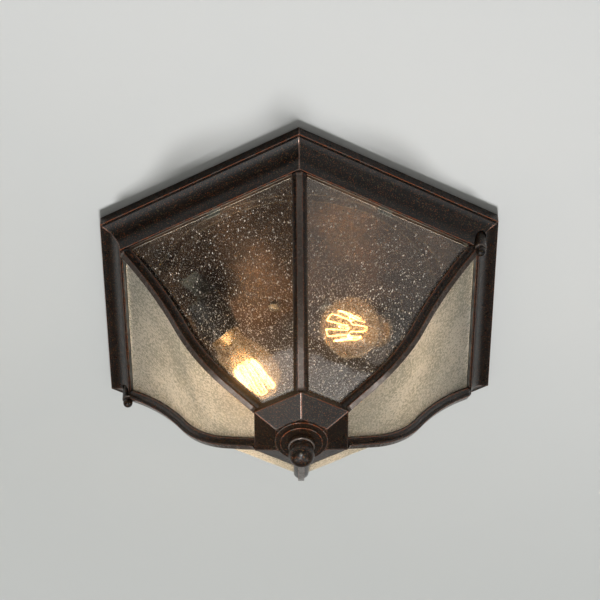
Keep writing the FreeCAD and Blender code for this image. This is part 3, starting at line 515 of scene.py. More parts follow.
def section(turns: Sequence[Turn], closed: bool = True, steps: int = 4,
            guard: float = 0.06 * MM) -> Section:
    """Rounds the corners of a section and keeps each rounding's sheen narrow.

    Args:
        turns: The corners in order.
        closed: Whether the last corner joins the first.
        steps: Straight pieces of each rounding.
        guard: Distance from a rounding to the points that hold the flat beside it.

    Returns:
        The rounded section.
    """
    straight = math.radians(176)        # a corner more open than this stays as it is
    most, held = 0.4, 0.3               # shares of an edge that a rounding and its guard may take
    places = [Vector((turn.x, turn.y)) for turn in turns]
    points: list[Vector] = []
    rub: list[float] = []
    for number, turn in enumerate(turns):
        here = places[number]
        back = places[number - 1] - here
        ahead = places[(number + 1) % len(turns)] - here
        at_end = not closed and number in (0, len(turns) - 1)
        short = min(back.length, ahead.length) < 1e-7
        opening = math.pi if short else back.angle(ahead)
        if turn.radius <= 0 or at_end or opening > straight:
            points.append(here)
            rub.append(turn.rub)
            continue
        reach = min(turn.radius / math.tan(opening / 2), most * back.length, most * ahead.length)
        radius = reach * math.tan(opening / 2)
        back_unit, ahead_unit = back.normalized(), ahead.normalized()
        middle = here + (back_unit + ahead_unit).normalized() * radius / math.sin(opening / 2)
        first, last = here + back_unit * reach, here + ahead_unit * reach
        start, end = first - middle, last - middle
        sweep = start.angle_signed(end)
        points.append(first + back_unit * min(guard, (back.length - reach) * held))
        points += [middle + Matrix.Rotation(-sweep * step / steps, 2) @ start for step in range(steps + 1)]
        points.append(last + ahead_unit * min(guard, (ahead.length - reach) * held))
        rub += [0.0] + [turn.rub] * (steps + 1) + [0.0]
    return Section(np.array([tuple(point) for point in points]), np.array(rub))


def at_corner(corner: float, drop: float) -> tuple[float, float]:
    """Side distance and height of a place given by its corner radius and its drop."""
    return corner * TO_SIDE, -drop


def arc_through(first: Sequence[float], between: Sequence[float], last: Sequence[float],
                count: int) -> list[tuple[float, float]]:
    """Follows the arc through three points.

    Args:
        first: First point.
        between: A point between.
        last: Last point.
        count: How many points, both ends included.

    Returns:
        The points.
    """
    start = complex(*first)
    chord, whole = complex(*between) - start, complex(*last) - start
    double_area = 2 * (chord.conjugate() * whole).imag
    to_centre = 1j * (chord * abs(whole) ** 2 - whole * abs(chord) ** 2) / double_area
    turn = (cmath.phase(whole - to_centre) - cmath.phase(-to_centre) + math.pi) % math.tau - math.pi
    places = [start + to_centre - to_centre * cmath.exp(1j * turn * number / (count - 1))
              for number in range(count)]
    return [(place.real, place.imag) for place in places]


def ball_turns(low: float, ball: float, sink: float, count: int) -> list[Turn]:
    """Goes down a ball that is sunk into the foot above it.

    Args:
        low: Height of the foot.
        ball: The ball's radius.
        sink: How far the ball reaches into the foot.
        count: How many points.

    Returns:
        The corners, from the foot to the ball's tip.
    """
    centre = low + sink - ball
    touch = math.asin((low - centre) / ball)
    return [Turn(ball * math.cos(angle), centre + ball * math.sin(angle))
            for angle in np.linspace(touch, -math.pi / 2, count)]


# ------------------------------------------------------------------ meshes
def grid_mesh(name: str, rows: np.ndarray, rub: np.ndarray | None = None, wrap_row: bool = False,
              wrap_point: bool = True, caps: bool = False) -> Mesh:
    """Joins rows of points to a mesh of four-sided faces.

    Args:
        name: The mesh's name.
        rows: Points as rows, points of a row, and x, y, z.
        rub: The rub of each point, as rows by points.
        wrap_row: Whether the last row joins the first.
        wrap_point: Whether the last point of a row joins its first.
        caps: Whether the first and last row are closed by a face.

    Returns:
        The mesh, smooth, with its doubles merged and its faces turned outwards.
    """
    many, each = rows.shape[:2]
    index = np.arange(many * each).reshape(many, each)
    faces = []
    for row in range(many if wrap_row else many - 1):
        for point in range(each if wrap_point else each - 1):
            next_row, next_point = (row + 1) % many, (point + 1) % each
            faces.append((index[row, point], index[row, next_point], index[next_row, next_point],
                          index[next_row, point]))
    if caps:
        faces += [tuple(index[0, ::-1]), tuple(index[-1])]
    mesh = bpy.data.meshes.new(name)
    mesh.from_pydata(rows.reshape(-1, 3).tolist(), [], [[int(corner) for corner in face] for face in faces])
    attribute = mesh.attributes.new(RUB_AND_SHEEN, "FLOAT", "POINT")
    if rub is not None:
        attribute.data.foreach_set("value", np.ascontiguousarray(rub, np.float32).ravel())
    tidy_mesh(mesh)
    return mesh


def tidy_mesh(mesh: Mesh) -> None:
    """Merges doubles, turns the faces outwards and shades them smooth.

    Args:
        mesh: The mesh, which is changed.
    """
    work = bmesh.new()
    work.from_mesh(mesh)
    bmesh.ops.remove_doubles(work, verts=work.verts, dist=1e-6)
    bmesh.ops.dissolve_degenerate(work, edges=work.edges, dist=1e-7)
    bmesh.ops.recalc_face_normals(work, faces=work.faces)
    work.to_mesh(mesh)
    work.free()
    mesh.shade_smooth()


def lathe(name: str, shape: Section, centre: Vector, axis: Vector = UP, count: int = 72,
          closed: bool = True) -> Mesh:
    """Turns a section of radius and height about an axis.

    Args:
        name: The mesh's name.
        shape: The section: radius and height of each point.
        centre: Where height 0 is on the axis.
        axis: Direction of the height.
        count: Steps round the axis.
        closed: Whether the section's last point joins its first.

    Returns:
        The mesh.
    """
    turn = UP.rotation_difference(axis).to_matrix()
    angles = np.arange(count) * math.tau / count
    radius, height = shape.points[:, 0], shape.points[:, 1]
    rows = np.stack([np.outer(np.cos(angles), radius), np.outer(np.sin(angles), radius),
                     np.tile(height, (count, 1))], axis=-1)
    rows = rows @ np.array(turn).T + np.array(centre)
    return grid_mesh(name, rows, np.tile(shape.rub, (count, 1)), wrap_row=True, wrap_point=closed)


def mitred_side(name: str, shape: Section, band: Sequence[float], middle: int = 7) -> Mesh:
    """One side of a hexagonal ring, its normal on +X, with mitred ends that join the next side.

    Args:
        name: The mesh's name.
        shape: The section: side distance and height.
        band: Distances of the columns from each mitre.
        middle: How many columns stand between.

    Returns:
        The mesh, open at both ends.
    """
    # The mitres' wear mark also makes their corner line burnished grey, partly a painted sheen.
    mitre_rub, inset = 0.85, 6 * MM
    side, height = shape.points[:, 0], shape.points[:, 1]
    half = side * TO_HALF
    left = [place - half for place in band]
    reach = half - np.minimum(band[-1] + inset, half * 0.5)
    inside = [reach * share for share in np.linspace(-1, 1, middle)]
    columns = left + inside + [-column for column in reversed(left)]
    rub_at = [mitre_rub * max(0.0, 1 - place / band[-1]) for place in band]
    rub_columns = np.array(rub_at + [0.0] * middle + rub_at[::-1])
    rows = np.stack([np.stack([side, column, height], axis=-1) for column in columns])
    return grid_mesh(name, rows, np.maximum(shape.rub[None, :], rub_columns[:, None]))


def joined(name: str, meshes: Sequence[Mesh]) -> Mesh:
    """Copies several meshes into one and removes them.

    Args:
        name: The new mesh's name.
        meshes: The meshes.

    Returns:
        The new mesh, smooth.
    """
    work = bmesh.new()
    for old in meshes:
        work.from_mesh(old)
        bpy.data.meshes.remove(old)
    mesh = bpy.data.meshes.new(name)
    work.to_mesh(mesh)
    work.free()
    mesh.shade_smooth()
    return mesh


def keep_half(mesh: Mesh, near: bool) -> None:
    """Drops the faces on one side of the axis.

    Args:
        mesh: The mesh, which is changed.
        near: Whether the near half (-Y) stays, or the far one.
    """
    work = bmesh.new()
    work.from_mesh(mesh)
    drop = [face for face in work.faces if (face.calc_center_median().y < 0) != near]
    bmesh.ops.delete(work, geom=drop, context="FACES")
    work.to_mesh(mesh)
    work.free()


def new_object(name: str, mesh: Mesh) -> Object:
    """Links a new object at the origin.

    Args:
        name: Its name.
        mesh: Its mesh.

    Returns:
        The object.
    """
    thing = bpy.data.objects.new(name, mesh)
    bpy.context.scene.collection.objects.link(thing)
    return thing


def plain_mesh(thing: Object) -> None:
    """Turns an object with modifiers into a plain mesh, merged and with its faces outwards.

    Args:
        thing: The object, which is changed.
    """
    bpy.context.view_layer.update()
    graph = bpy.context.evaluated_depsgraph_get()
    mesh = bpy.data.meshes.new_from_object(thing.evaluated_get(graph))
    thing.modifiers.clear()
    old, thing.data = thing.data, mesh
    mesh.name = thing.name
    bpy.data.meshes.remove(old)
    tidy_mesh(mesh)


# ------------------------------------------------------------------ geometry node trees
class GrowTree(Tree):
    """A Geometry Nodes tree with named inputs, ending in Realize Instances and Set Material."""

    def __init__(self, name: str, inputs: dict[str, object]) -> None:
        """Starts the tree.

        Args:
            name: The tree's name.
            inputs: Each input's name and its value: a number, a whole number or a material.
        """
        super().__init__(bpy.data.node_groups.new(name, "GeometryNodeTree"))
        face = self.tree.interface
        face.new_socket("Geometry", in_out="INPUT", socket_type="NodeSocketGeometry")
        face.new_socket("Geometry", in_out="OUTPUT", socket_type="NodeSocketGeometry")
        self.values: dict[str, object] = {}
        for key, value in inputs.items():
            kind = {int: "NodeSocketInt", float: "NodeSocketFloat"}.get(type(value), "NodeSocketMaterial")
            socket = face.new_socket(key, in_out="INPUT", socket_type=kind)
            self.values[socket.identifier] = value
        self.inputs = self.add("NodeGroupInput").node.outputs

    def end(self, geometry: NodeSocket) -> None:
        """Realizes the instances, sets the material and closes the tree.

        Args:
            geometry: What the tree has made.
        """
        real = self.add("GeometryNodeRealizeInstances", {0: geometry})
        done = self.add("GeometryNodeSetMaterial", {"Geometry": real, "Material": self.inputs["Finish"]})
        self.add("NodeGroupOutput", {0: done})

    def grow(self, name: str, start: Mesh) -> Object:
        """Runs the tree on a start mesh and keeps the result as a plain mesh.

        Args:
            name: The new piece's name.
            start: The mesh that the tree starts from.

        Returns:
            The piece, with no modifier left.
        """
        thing = new_object(name, start)
        modifier = thing.modifiers.new(self.tree.name, "NODES")
        modifier.node_group = self.tree
        for identifier, value in self.values.items():
            modifier[identifier] = value
        plain_mesh(thing)
        return thing


def ring_tree(finish: Material, first: float = FIRST_SIDE) -> GrowTree:
    """Repeats one side or corner round the axis.

    Args:
        finish: The material.
        first: Angle of the first copy, whose start mesh stands on +X.

    Returns:
        The tree.
    """
    ring = GrowTree("around_the_axis", {"Count": SIDES, "First Angle": first, "Finish": finish})
    dots = ring.add("GeometryNodeMeshLine", {"Count": ring.inputs["Count"], "Offset": (0, 0, 0)})
    number = ring.add("GeometryNodeInputIndex")
    step = ring.add("ShaderNodeMath", {0: math.tau, 1: ring.inputs["Count"]}, operation="DIVIDE")
    angle = ring.add("ShaderNodeMath", {0: number, 1: step, 2: ring.inputs["First Angle"]},
                     operation="MULTIPLY_ADD")
    turn = ring.add("FunctionNodeEulerToRotation", {0: ring.add("ShaderNodeCombineXYZ", {"Z": angle})})
    ring.end(ring.add("GeometryNodeInstanceOnPoints",
                      {"Points": dots, "Instance": ring.inputs["Geometry"], "Rotation": turn}))
    return ring


def seed_tree(finish: Material, density: float, small: float, large: float, depth: float,
              seed: int) -> GrowTree:
    """Scatters small long bubbles in a sheet.

    Args:
        finish: The material.
        density: Bubbles in a square metre.
        small: Radius of the smallest bubble.
        large: Radius of the largest bubble.
        depth: How far from the sheet's middle a bubble may reach.
        seed: Seed of everything random.

    Returns:
        The tree.
    """
    sheet = GrowTree("bubbles_in_a_sheet", {"Density": density, "Smallest": small, "Largest": large,
                                            "Depth": depth, "Seed": seed, "Finish": finish})
    given = sheet.inputs
    spots = sheet.add("GeometryNodeDistributePointsOnFaces",
                      {"Mesh": given["Geometry"], "Density": given["Density"], "Seed": given["Seed"]})
    normal, turn = spots.node.outputs["Normal"], spots.node.outputs["Rotation"]
    bubble = sheet.add("GeometryNodeMeshUVSphere", {"Radius": 1.0, "Segments": 4, "Rings": 2})
    other_seed = sheet.add("ShaderNodeMath", {0: given["Seed"], 1: 7.0})
    chance = sheet.add("FunctionNodeRandomValue", {2: 0.0, 3: 1.0, 8: other_seed}, 1)
    rare = sheet.add("ShaderNodeMath", {0: chance, 1: 4.0}, operation="POWER")
    size = sheet.add("ShaderNodeMapRange", {0: rare, 3: given["Smallest"], 4: given["Largest"]})
    length = sheet.add("ShaderNodeMath", {0: size, 1: 1.5}, **TIMES)
    free = sheet.add("ShaderNodeMath", {0: given["Depth"], 1: size}, operation="SUBTRACT")
    spread = sheet.add("FunctionNodeRandomValue", {2: -1.0, 3: 1.0, 8: given["Seed"]}, 1)
    shift = sheet.add("ShaderNodeMath", {0: free, 1: spread}, **TIMES)
    offset = sheet.add("ShaderNodeVectorMath", {0: normal, 3: shift}, operation="SCALE")
    moved = sheet.add("GeometryNodeSetPosition", {"Geometry": spots, "Offset": offset})
    scale = sheet.add("ShaderNodeCombineXYZ", {0: size, 1: length, 2: size})
    sheet.end(sheet.add("GeometryNodeInstanceOnPoints",
                        {"Points": moved, "Instance": bubble, "Rotation": turn, "Scale": scale}))
    return sheet


def wire_tree(finish: Material, radius: float, turn: float) -> GrowTree:
    """Follows the edges of a start mesh with a round wire.

    Args:
        finish: The material.
        radius: The wire's radius.
        turn: Radius of its bends.

    Returns:
        The tree.
    """
    wire = GrowTree("wire_along_edges", {"Radius": radius, "Bend": turn, "Finish": finish})
    line = wire.add("GeometryNodeMeshToCurve", {0: wire.inputs["Geometry"]})
    links = {"Curve": line, "Radius": wire.inputs["Bend"], "Limit Radius": True, "Count": 4}
    bent = wire.add("GeometryNodeFilletCurve", links, mode="POLY")
    ring = wire.add("GeometryNodeCurvePrimitiveCircle", {"Resolution": 6, "Radius": wire.inputs["Radius"]})
    wire.end(wire.add("GeometryNodeCurveToMesh", {"Curve": bent, "Profile Curve": ring, "Fill Caps": True}))
    return wire


# ------------------------------------------------------------------ pieces of the lantern
def dress(thing: Object, body: str, nodes: Sequence[str] = (),
          finish: Material | None = None, shadow: Shadow = Shadow.STOPS) -> None:
    """Finishes a piece: its material, its body and the parts that it stands for.

    Args:
        thing: The piece.
        body: The body that it rides on.
        nodes: The parts that it stands for.
        finish: Its material, if a tree hasn't set it.
        shadow: Whether it stops the lamps' light.
    """
    if finish is not None:
        thing.data.materials.clear()
        thing.data.materials.append(finish)
    thing.visible_shadow = shadow.value
    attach(thing, body)
    if nodes:
        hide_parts(*nodes)
    LOG.info("%s: %d faces, for %s", thing.name, len(thing.data.polygons), ", ".join(nodes) or "itself")


def numbered(stem: str) -> list[str]:
    """Names of the six parts of one kind."""
    return [f"{stem}_{number}" for number in range(1, SIDES + 1)]


def knob_place(radius: float, sign: float, height: float = 0.0) -> Vector:
    """Place of the right knob (sign 1) or the left knob (sign -1)."""
    return Vector((math.cos(STEP / 2) * radius * sign, -math.sin(STEP / 2) * radius * sign, height))


@dataclass
class Ogee:
    """The bent face of the cage, square to one side: two arcs and a straight end."""

    start_side: float = 158.2 * MM * TO_SIDE
    start_height: float = -27.6 * MM
    top_slope: float = math.radians(44.5)
    steep_slope: float = math.radians(62.2)
    end_slope: float = math.radians(32.6)
    upper_radius: float = 246.0 * MM
    lower_radius: float = 102.6 * MM
    fine: int = 4000                    # small steps that add up to the curve

    def line(self, end_side: float, count: int = 60) -> tuple[np.ndarray, np.ndarray]:
        """Follows the outer face.

        Args:
            end_side: Distance of the last point from the axis.
            count: How many points.

        Returns:
            The points as side distance and height, and the outward normal at each.
        """
        steep = math.sin(self.steep_slope)
        upper = self.upper_radius * (self.steep_slope - self.top_slope)
        lower = self.lower_radius * (self.steep_slope - self.end_slope)
        foot = (self.start_side - self.upper_radius * (steep - math.sin(self.top_slope))
                - self.lower_radius * (steep - math.sin(self.end_slope)))
        total = upper + lower + (foot - end_side) / math.cos(self.end_slope)
        ways = np.linspace(0, total, self.fine)
        slopes = np.where(ways < upper, self.top_slope + ways / self.upper_radius,
                          np.maximum(self.steep_slope - (ways - upper) / self.lower_radius, self.end_slope))
        step = total / (self.fine - 1)
        side = self.start_side - np.concatenate([[0], np.cumsum(np.cos(slopes[:-1]))]) * step
        height = self.start_height - np.concatenate([[0], np.cumsum(np.sin(slopes[:-1]))]) * step
        pick = np.linspace(0, self.fine - 1, count).round().astype(int)
        points = np.stack([side[pick], height[pick]], axis=-1)
        normals = np.stack([np.sin(slopes[pick]), -np.cos(slopes[pick])], axis=-1)
        return points, normals


@dataclass
class FrameMoulding:
    """The six-sided moulding: lip, quirk, cove and rim, with mitred corners."""

    finish: Material
    corner: float = 178 * MM
    lip: float = 8.3 * MM
    quirk_width: float = 1.8 * MM
    quirk_height: float = 1.2 * MM
    cove_inset: float = 11.4 * MM
    cove_drop: float = 14.6 * MM
    rim_inset: float = 17.8 * MM
    rim_drop: float = 27.6 * MM
    wall: float = 2.2 * MM
    edge: float = 0.32 * MM
    knob_radius: float = 161 * MM
    hole_radius: float = 5.1 * MM
    hole_top: float = -9.9 * MM
    hole_bottom: float = -40 * MM
    mitre_band: tuple[float, ...] = (0.0, 0.8 * MM, 1.0 * MM)
    crease: float = 40.0                # degrees from which an edge stays sharp

    def shape(self) -> Section:
        """Draws the section.

        Returns:
            The section: side distance and height.
        """
        quirk = self.corner - self.quirk_width
        quirk_drop = self.lip + self.quirk_height
        waist = self.corner - self.cove_inset
        rim = self.corner - self.rim_inset
        inner = rim - self.wall
        lip_back = self.corner - self.wall
        cove = arc_through(at_corner(quirk, quirk_drop), at_corner(waist, self.cove_drop),
                           at_corner(rim, self.rim_drop), 26)
        back = arc_through(at_corner(inner, self.rim_drop - self.wall),
                           at_corner(waist - self.wall / 2, self.cove_drop - self.wall),
                           at_corner(quirk - self.wall, quirk_drop - self.wall), 14)
        soft = 0.2 * MM
        turns = [Turn(*at_corner(lip_back, 0), soft), Turn(*at_corner(self.corner, 0), 0.3 * MM),
                 Turn(*at_corner(self.corner, self.lip), self.edge, 1.0),
                 Turn(*at_corner(quirk, self.lip), 0.15 * MM), Turn(*cove[0], 0.25 * MM)]
        turns += [Turn(*place) for place in cove[1:-1]]
        turns += [Turn(*cove[-1], self.edge, 1.0), Turn(*at_corner(inner, self.rim_drop), 0.4 * MM, 0.8)]
        turns += [Turn(*back[0], soft)] + [Turn(*place) for place in back[1:-1]] + [Turn(*back[-1], soft)]
        turns.append(Turn(*at_corner(lip_back, quirk_drop - 2 * self.wall), soft))
        return section(turns)

    def build(self) -> None:
        """Makes the ring, drills the knob holes and dresses it."""
        side = mitred_side("moulding_side", self.shape(), self.mitre_band)
        ring = ring_tree(self.finish).grow("moulding", side)
        drill = section([Turn(0, self.hole_bottom), Turn(self.hole_radius, self.hole_bottom),
                         Turn(self.hole_radius, self.hole_top), Turn(0, self.hole_top)])
        tools = [new_object("drill", lathe("drill", drill, knob_place(self.knob_radius, sign), count=40))
                 for sign in (1, -1)]
        for tool in tools:
            cut = ring.modifiers.new("hole", "BOOLEAN")
            cut.operation, cut.solver, cut.object = "DIFFERENCE", "EXACT", tool
        plain_mesh(ring)
        for tool in tools:
            bpy.data.objects.remove(tool)
        ring.data.set_sharp_from_angle(angle=math.radians(self.crease))
        dress(ring, CAGE, ["frame_moulding"], self.finish)


@dataclass
class Ribs:
    """Six ribs along the corners: a flange, a raised strip and a web between the panes."""

    finish: Material
    ogee: Ogee
    width: float = 11.5 * MM
    flange: float = 1.4 * MM
    strip_width: float = 4.8 * MM
    strip_height: float = 2.8 * MM
    strip_sink: float = 0.3 * MM
    dome: float = 1.9 * MM
    web: float = 2.0 * MM
    depth: float = 4.6 * MM
    shoulder: float = 1.0 * MM
    shoulder_share: float = 0.62        # its height as a share of the dome's
    edge_rub: float = 0.8
    strip_rub: float = 0.75
    # top_rub makes the strip's flat top burnished grey: partly wear, partly a painted sheen.
    top_rub: float = 0.32
    strip_tuck: float = 4 * MM          # how far the strip's path goes on under the cap
    inner_corner: float = 157.9 * MM
    cap_corner: float = 41.2 * MM
    end_corner: float = 32 * MM

    def sweep(self, name: str, shape: Section, end_corner: float, stop: float,
              fold: float) -> Mesh:
        """Follows the ogee with a section of sideways place and height above the flange.

        Args:
            name: The mesh's name.
            shape: The section.
            end_corner: Corner radius where the path ends.
            stop: Smallest corner radius of any point.
            fold: 1 to fold the section over the corner, 0 to leave it flat.

        Returns:
            The mesh, with its corner on +X.
        """
        points, normals = self.ogee.line(end_corner * TO_SIDE, 72)
        across, rise = shape.points[:, 0], shape.points[:, 1]
        side = points[:, :1] + normals[:, :1] * rise
        height = points[:, 1:] + normals[:, 1:] * rise
        out = (side - fold * np.abs(across) * math.sin(STEP / 2)) / TO_SIDE
        out = np.clip(out, stop, self.inner_corner)
        rows = np.stack([out, np.broadcast_to(across, out.shape), height], axis=-1)
        return grid_mesh(name, rows, np.broadcast_to(shape.rub, out.shape), caps=True)

    def build(self) -> None:
        """Makes one rib, repeats it and dresses the set."""
        half, strip, web = self.width / 2, self.strip_width / 2, self.web / 2
        edge, strip_edge, soft, fine = 0.45 * MM, 0.35 * MM, 0.2 * MM, 0.1 * MM
        shoulder, shoulder_rise = half - self.shoulder, self.shoulder_share * self.dome
        tee = section([Turn(-half, -self.flange, soft), Turn(-web, -self.flange, fine),
                       Turn(-web, -self.depth, soft), Turn(web, -self.depth, soft),
                       Turn(web, -self.flange, fine), Turn(half, -self.flange, soft),
                       Turn(half, 0, edge, self.edge_rub), Turn(shoulder, shoulder_rise, 1.2 * MM),
                       Turn(strip, self.dome), Turn(-strip, self.dome),
                       Turn(-shoulder, shoulder_rise, 1.2 * MM), Turn(-half, 0, edge, self.edge_rub)])
        raised = section([Turn(-strip, -self.strip_sink, fine), Turn(strip, -self.strip_sink, fine),
                          Turn(strip, self.strip_height, strip_edge, self.strip_rub),
                          Turn(-strip, self.strip_height, strip_edge, self.strip_rub)])
        # The strip's flat top is marked for burnished grey, partly a painted sheen.
        flat = raised.points[:, 1] > 0.97 * self.strip_height
        raised.rub[flat] = np.maximum(raised.rub[flat], self.top_rub)
        strip_end = self.cap_corner - self.strip_tuck
        one = joined("rib", [self.sweep("flange", tee, self.end_corner, 0.0, 1.0),
                             self.sweep("strip", raised, strip_end, self.cap_corner, 0.0)])
        ribs = ring_tree(self.finish, FIRST_CORNER).grow("ribs", one)
        dress(ribs, CAGE, numbered("rib"))


@dataclass
class GlassPanes:
    """Six bent panes between the ribs, and the bubbles in them."""

    glass: Material
    air: Material
    ogee: Ogee
    face: float = -1.6 * MM
    back: float = -4.6 * MM
    side_gap: float = 1.3 * MM
    end_corner: float = 34 * MM
    wave: float = 0.10 * MM
    length: float = 170.0               # about a pane's length in millimetres
    density: float = 160_000.0          # bubbles in a square metre
    smallest: float = 0.09 * MM
    largest: float = 0.6 * MM
    seed_depth: float = 1.35 * MM
    seed: int = 11
    crease: float = 45.0

    def sheet(self, level: float, sign: float) -> np.ndarray:
        """Points of one face of a pane, its normal on +X.

        Args:
            level: Height of the face above the rib flanges.
            sign: 1 or -1, so that the two faces don't wave together.

        Returns:
            Rows of points, from the frame to the cap.
        """
        points, normals = self.ogee.line(self.end_corner * TO_SIDE, 90)
        points, normals = points[1:], normals[1:]
        share = np.linspace(-1, 1, 41)
        way = np.linspace(0, 1, len(points))[:, None] * self.length
        across = share[None, :] * (points[:, :1] * TO_HALF / MM)
        ripple = (np.sin(way * 0.21 + sign) * np.cos(across * 0.17) + 0.6 * np.sin(way * 0.11 + across * 0.29)
                  + 0.4 * np.cos(way * 0.37 - across * 0.13 * sign)) * self.wave * 0.5
        lift = level + ripple
        side = points[:, :1] + normals[:, :1] * lift
        height = points[:, 1:] + normals[:, 1:] * lift
        half = side * TO_HALF - self.side_gap / TO_SIDE
        return np.stack([side, half * share[None, :], height], axis=-1)

    def build(self) -> None:
        """Makes the panes and their bubbles and dresses them."""
        outer, inner = self.sheet(self.face, 1.0), self.sheet(self.back, -1.0)
        pane = grid_mesh("pane", np.concatenate([outer, inner[:, ::-1]], axis=1), caps=True)
        panes = ring_tree(self.glass).grow("bent_panes", pane)
        panes.data.set_sharp_from_angle(angle=math.radians(self.crease))
        dress(panes, CAGE, numbered("glass_panel"), shadow=Shadow.LETS_THROUGH)
        middle = grid_mesh("middle", self.sheet((self.face + self.back) / 2, 0.0)[2:-2, 1:-1],
                           wrap_point=False)
        sheets = ring_tree(self.glass).grow("middles", middle)
        start = sheets.data.copy()
        bpy.data.objects.remove(sheets)
        tree = seed_tree(self.air, self.density, self.smallest, self.largest, self.seed_depth, self.seed)
        for name, near in (("seeds_near_half", True), ("seeds_far_half", False)):
            half = start.copy()
            keep_half(half, near)
            dress(tree.grow(name, half), CAGE, shadow=Shadow.LETS_THROUGH)
        bpy.data.meshes.remove(start)


@dataclass
class BottomCap:
    """The hexagonal cap: a straight rim, sloped faces and a flat under the finial."""

    finish: Material
    ogee: Ogee
    corner: float = 41 * MM
    rim: float = 5.2 * MM
    slope: float = 9.3 * MM
    flat: float = 22.4 * MM
    wall: float = 1.5 * MM
    hole: float = 4.2 * MM
    gap: float = 0.05 * MM
    mitre_band: tuple[float, ...] = (0.0, 1.0 * MM, 1.2 * MM)

    def rim_top(self) -> float:
        """Height of the rib flanges where the cap's rim meets them."""
        points, _ = self.ogee.line(self.corner * TO_SIDE)
        return float(points[-1, 1])

    def bottom(self) -> float:
        """Height of the cap's flat."""
        return self.rim_top() - self.rim - self.slope

    def build(self) -> None:
        """Makes the cap and dresses it."""
        top, bottom = -(self.rim_top() - self.gap), -self.bottom()
        low = top + self.rim
        edge, soft = 0.5 * MM, 0.2 * MM
        inner, half_wall = self.corner - self.wall, self.wall / 2
        turns = [Turn(*at_corner(self.hole, bottom), soft), Turn(*at_corner(self.flat, bottom), edge, 0.9),
                 Turn(*at_corner(self.corner, low), edge, 1.0),
                 Turn(*at_corner(self.corner, top), 0.4 * MM, 1.0), Turn(*at_corner(inner, top), soft),
                 Turn(*at_corner(inner, low - half_wall), soft),
                 Turn(*at_corner(self.flat - half_wall, bottom - self.wall), soft),
                 Turn(*at_corner(self.hole, bottom - self.wall), soft)]
        side = mitred_side("cap_side", section(turns), self.mitre_band, middle=3)
        dress(ring_tree(self.finish).grow("bottom_cap_shell", side), CAGE, ["bottom_cap"])


@dataclass
class Finial:
    """The stepped washer, and the neck, waist and ball that screw on below it."""

    finish: Material
    top: float
    washer: float = 20 * MM
    washer_height: float = 1.9 * MM
    step: float = 16.2 * MM
    step_height: float = 2.0 * MM
    neck: float = 10 * MM
    neck_height: float = 4.6 * MM
    groove: float = 0.8 * MM            # depth of the groove over the neck
    groove_height: float = 1.1 * MM
    waist: float = 7.6 * MM
    waist_height: float = 1.4 * MM
    ball: float = 9.8 * MM
    sink: float = 4.0 * MM
    bore: float = 3.4 * MM
    gap: float = 0.05 * MM

    def build(self) -> None:
        """Makes the washer and the ball and dresses them."""
        edge, soft, round_edge, here = 0.5 * MM, 0.2 * MM, 0.3 * MM, Vector((0, 0, self.top))
        low = -self.washer_height - self.step_height
        ring = section([Turn(self.bore, 0, soft), Turn(self.washer, 0, soft),
                        Turn(self.washer, -self.washer_height, edge, 1.0),
                        Turn(self.step, -self.washer_height, 0.1 * MM),
                        Turn(self.step, low, edge, 1.0), Turn(self.bore, low, soft)])
        washer = new_object("stepped_washer", lathe("washer", ring, here, count=96))
        dress(washer, CAGE, ["finial_washer"], self.finish)
        start = low - self.gap
        neck_low = start - self.neck_height
        waist_low = neck_low - self.waist_height
        grooved, groove_low = self.neck - self.groove, start - self.groove_height
        turns = [Turn(0, start), Turn(grooved, start, soft), Turn(grooved, groove_low, soft),
                 Turn(self.neck, groove_low - 0.2 * MM, 0.6 * MM, 0.35),
                 Turn(self.neck, neck_low, 1.6 * MM, 0.5),
                 Turn(self.waist, neck_low, round_edge), Turn(self.waist, waist_low, round_edge)]
        turns += ball_turns(waist_low, self.ball, self.sink, 28)[1:]
        mesh = lathe("finial", section(turns, closed=False), here, closed=False)
        dress(new_object(FINIAL, mesh), "finial", ["finial_ball"], self.finish)


@dataclass
class Knobs:
    """Two ball-ended knobs that stand in the holes of the cove."""

    finish: Material
    radius: float = 161 * MM
    top: float = -12.15 * MM
    stem: float = 4.1 * MM
    stem_height: float = 11.2 * MM
    collar: float = 4.65 * MM
    collar_height: float = 6.8 * MM
    ball: float = 3.8 * MM
    sink: float = 0.6 * MM

    def build(self) -> None:
        """Makes both knobs and dresses them."""
        collar_top = -self.stem_height
        collar_low = collar_top - self.collar_height
        turns = [Turn(0, 0), Turn(self.stem, 0, 0.3 * MM), Turn(self.stem, collar_top, 0.2 * MM),
                 Turn(self.collar, collar_top, 0.4 * MM, 0.6), Turn(self.collar, collar_low, 2.2 * MM, 0.3)]
        shape = section(turns + ball_turns(collar_low, self.ball, self.sink, 20), closed=False)
        for name, sign in (("right", 1.0), ("left", -1.0)):
            mesh = lathe("knob", shape, knob_place(self.radius, sign, self.top), count=48, closed=False)
            dress(new_object(f"ball_knob_{name}", mesh), f"knob_{name}", [f"knob_{name}"],
                  self.finish, Shadow.LETS_THROUGH)


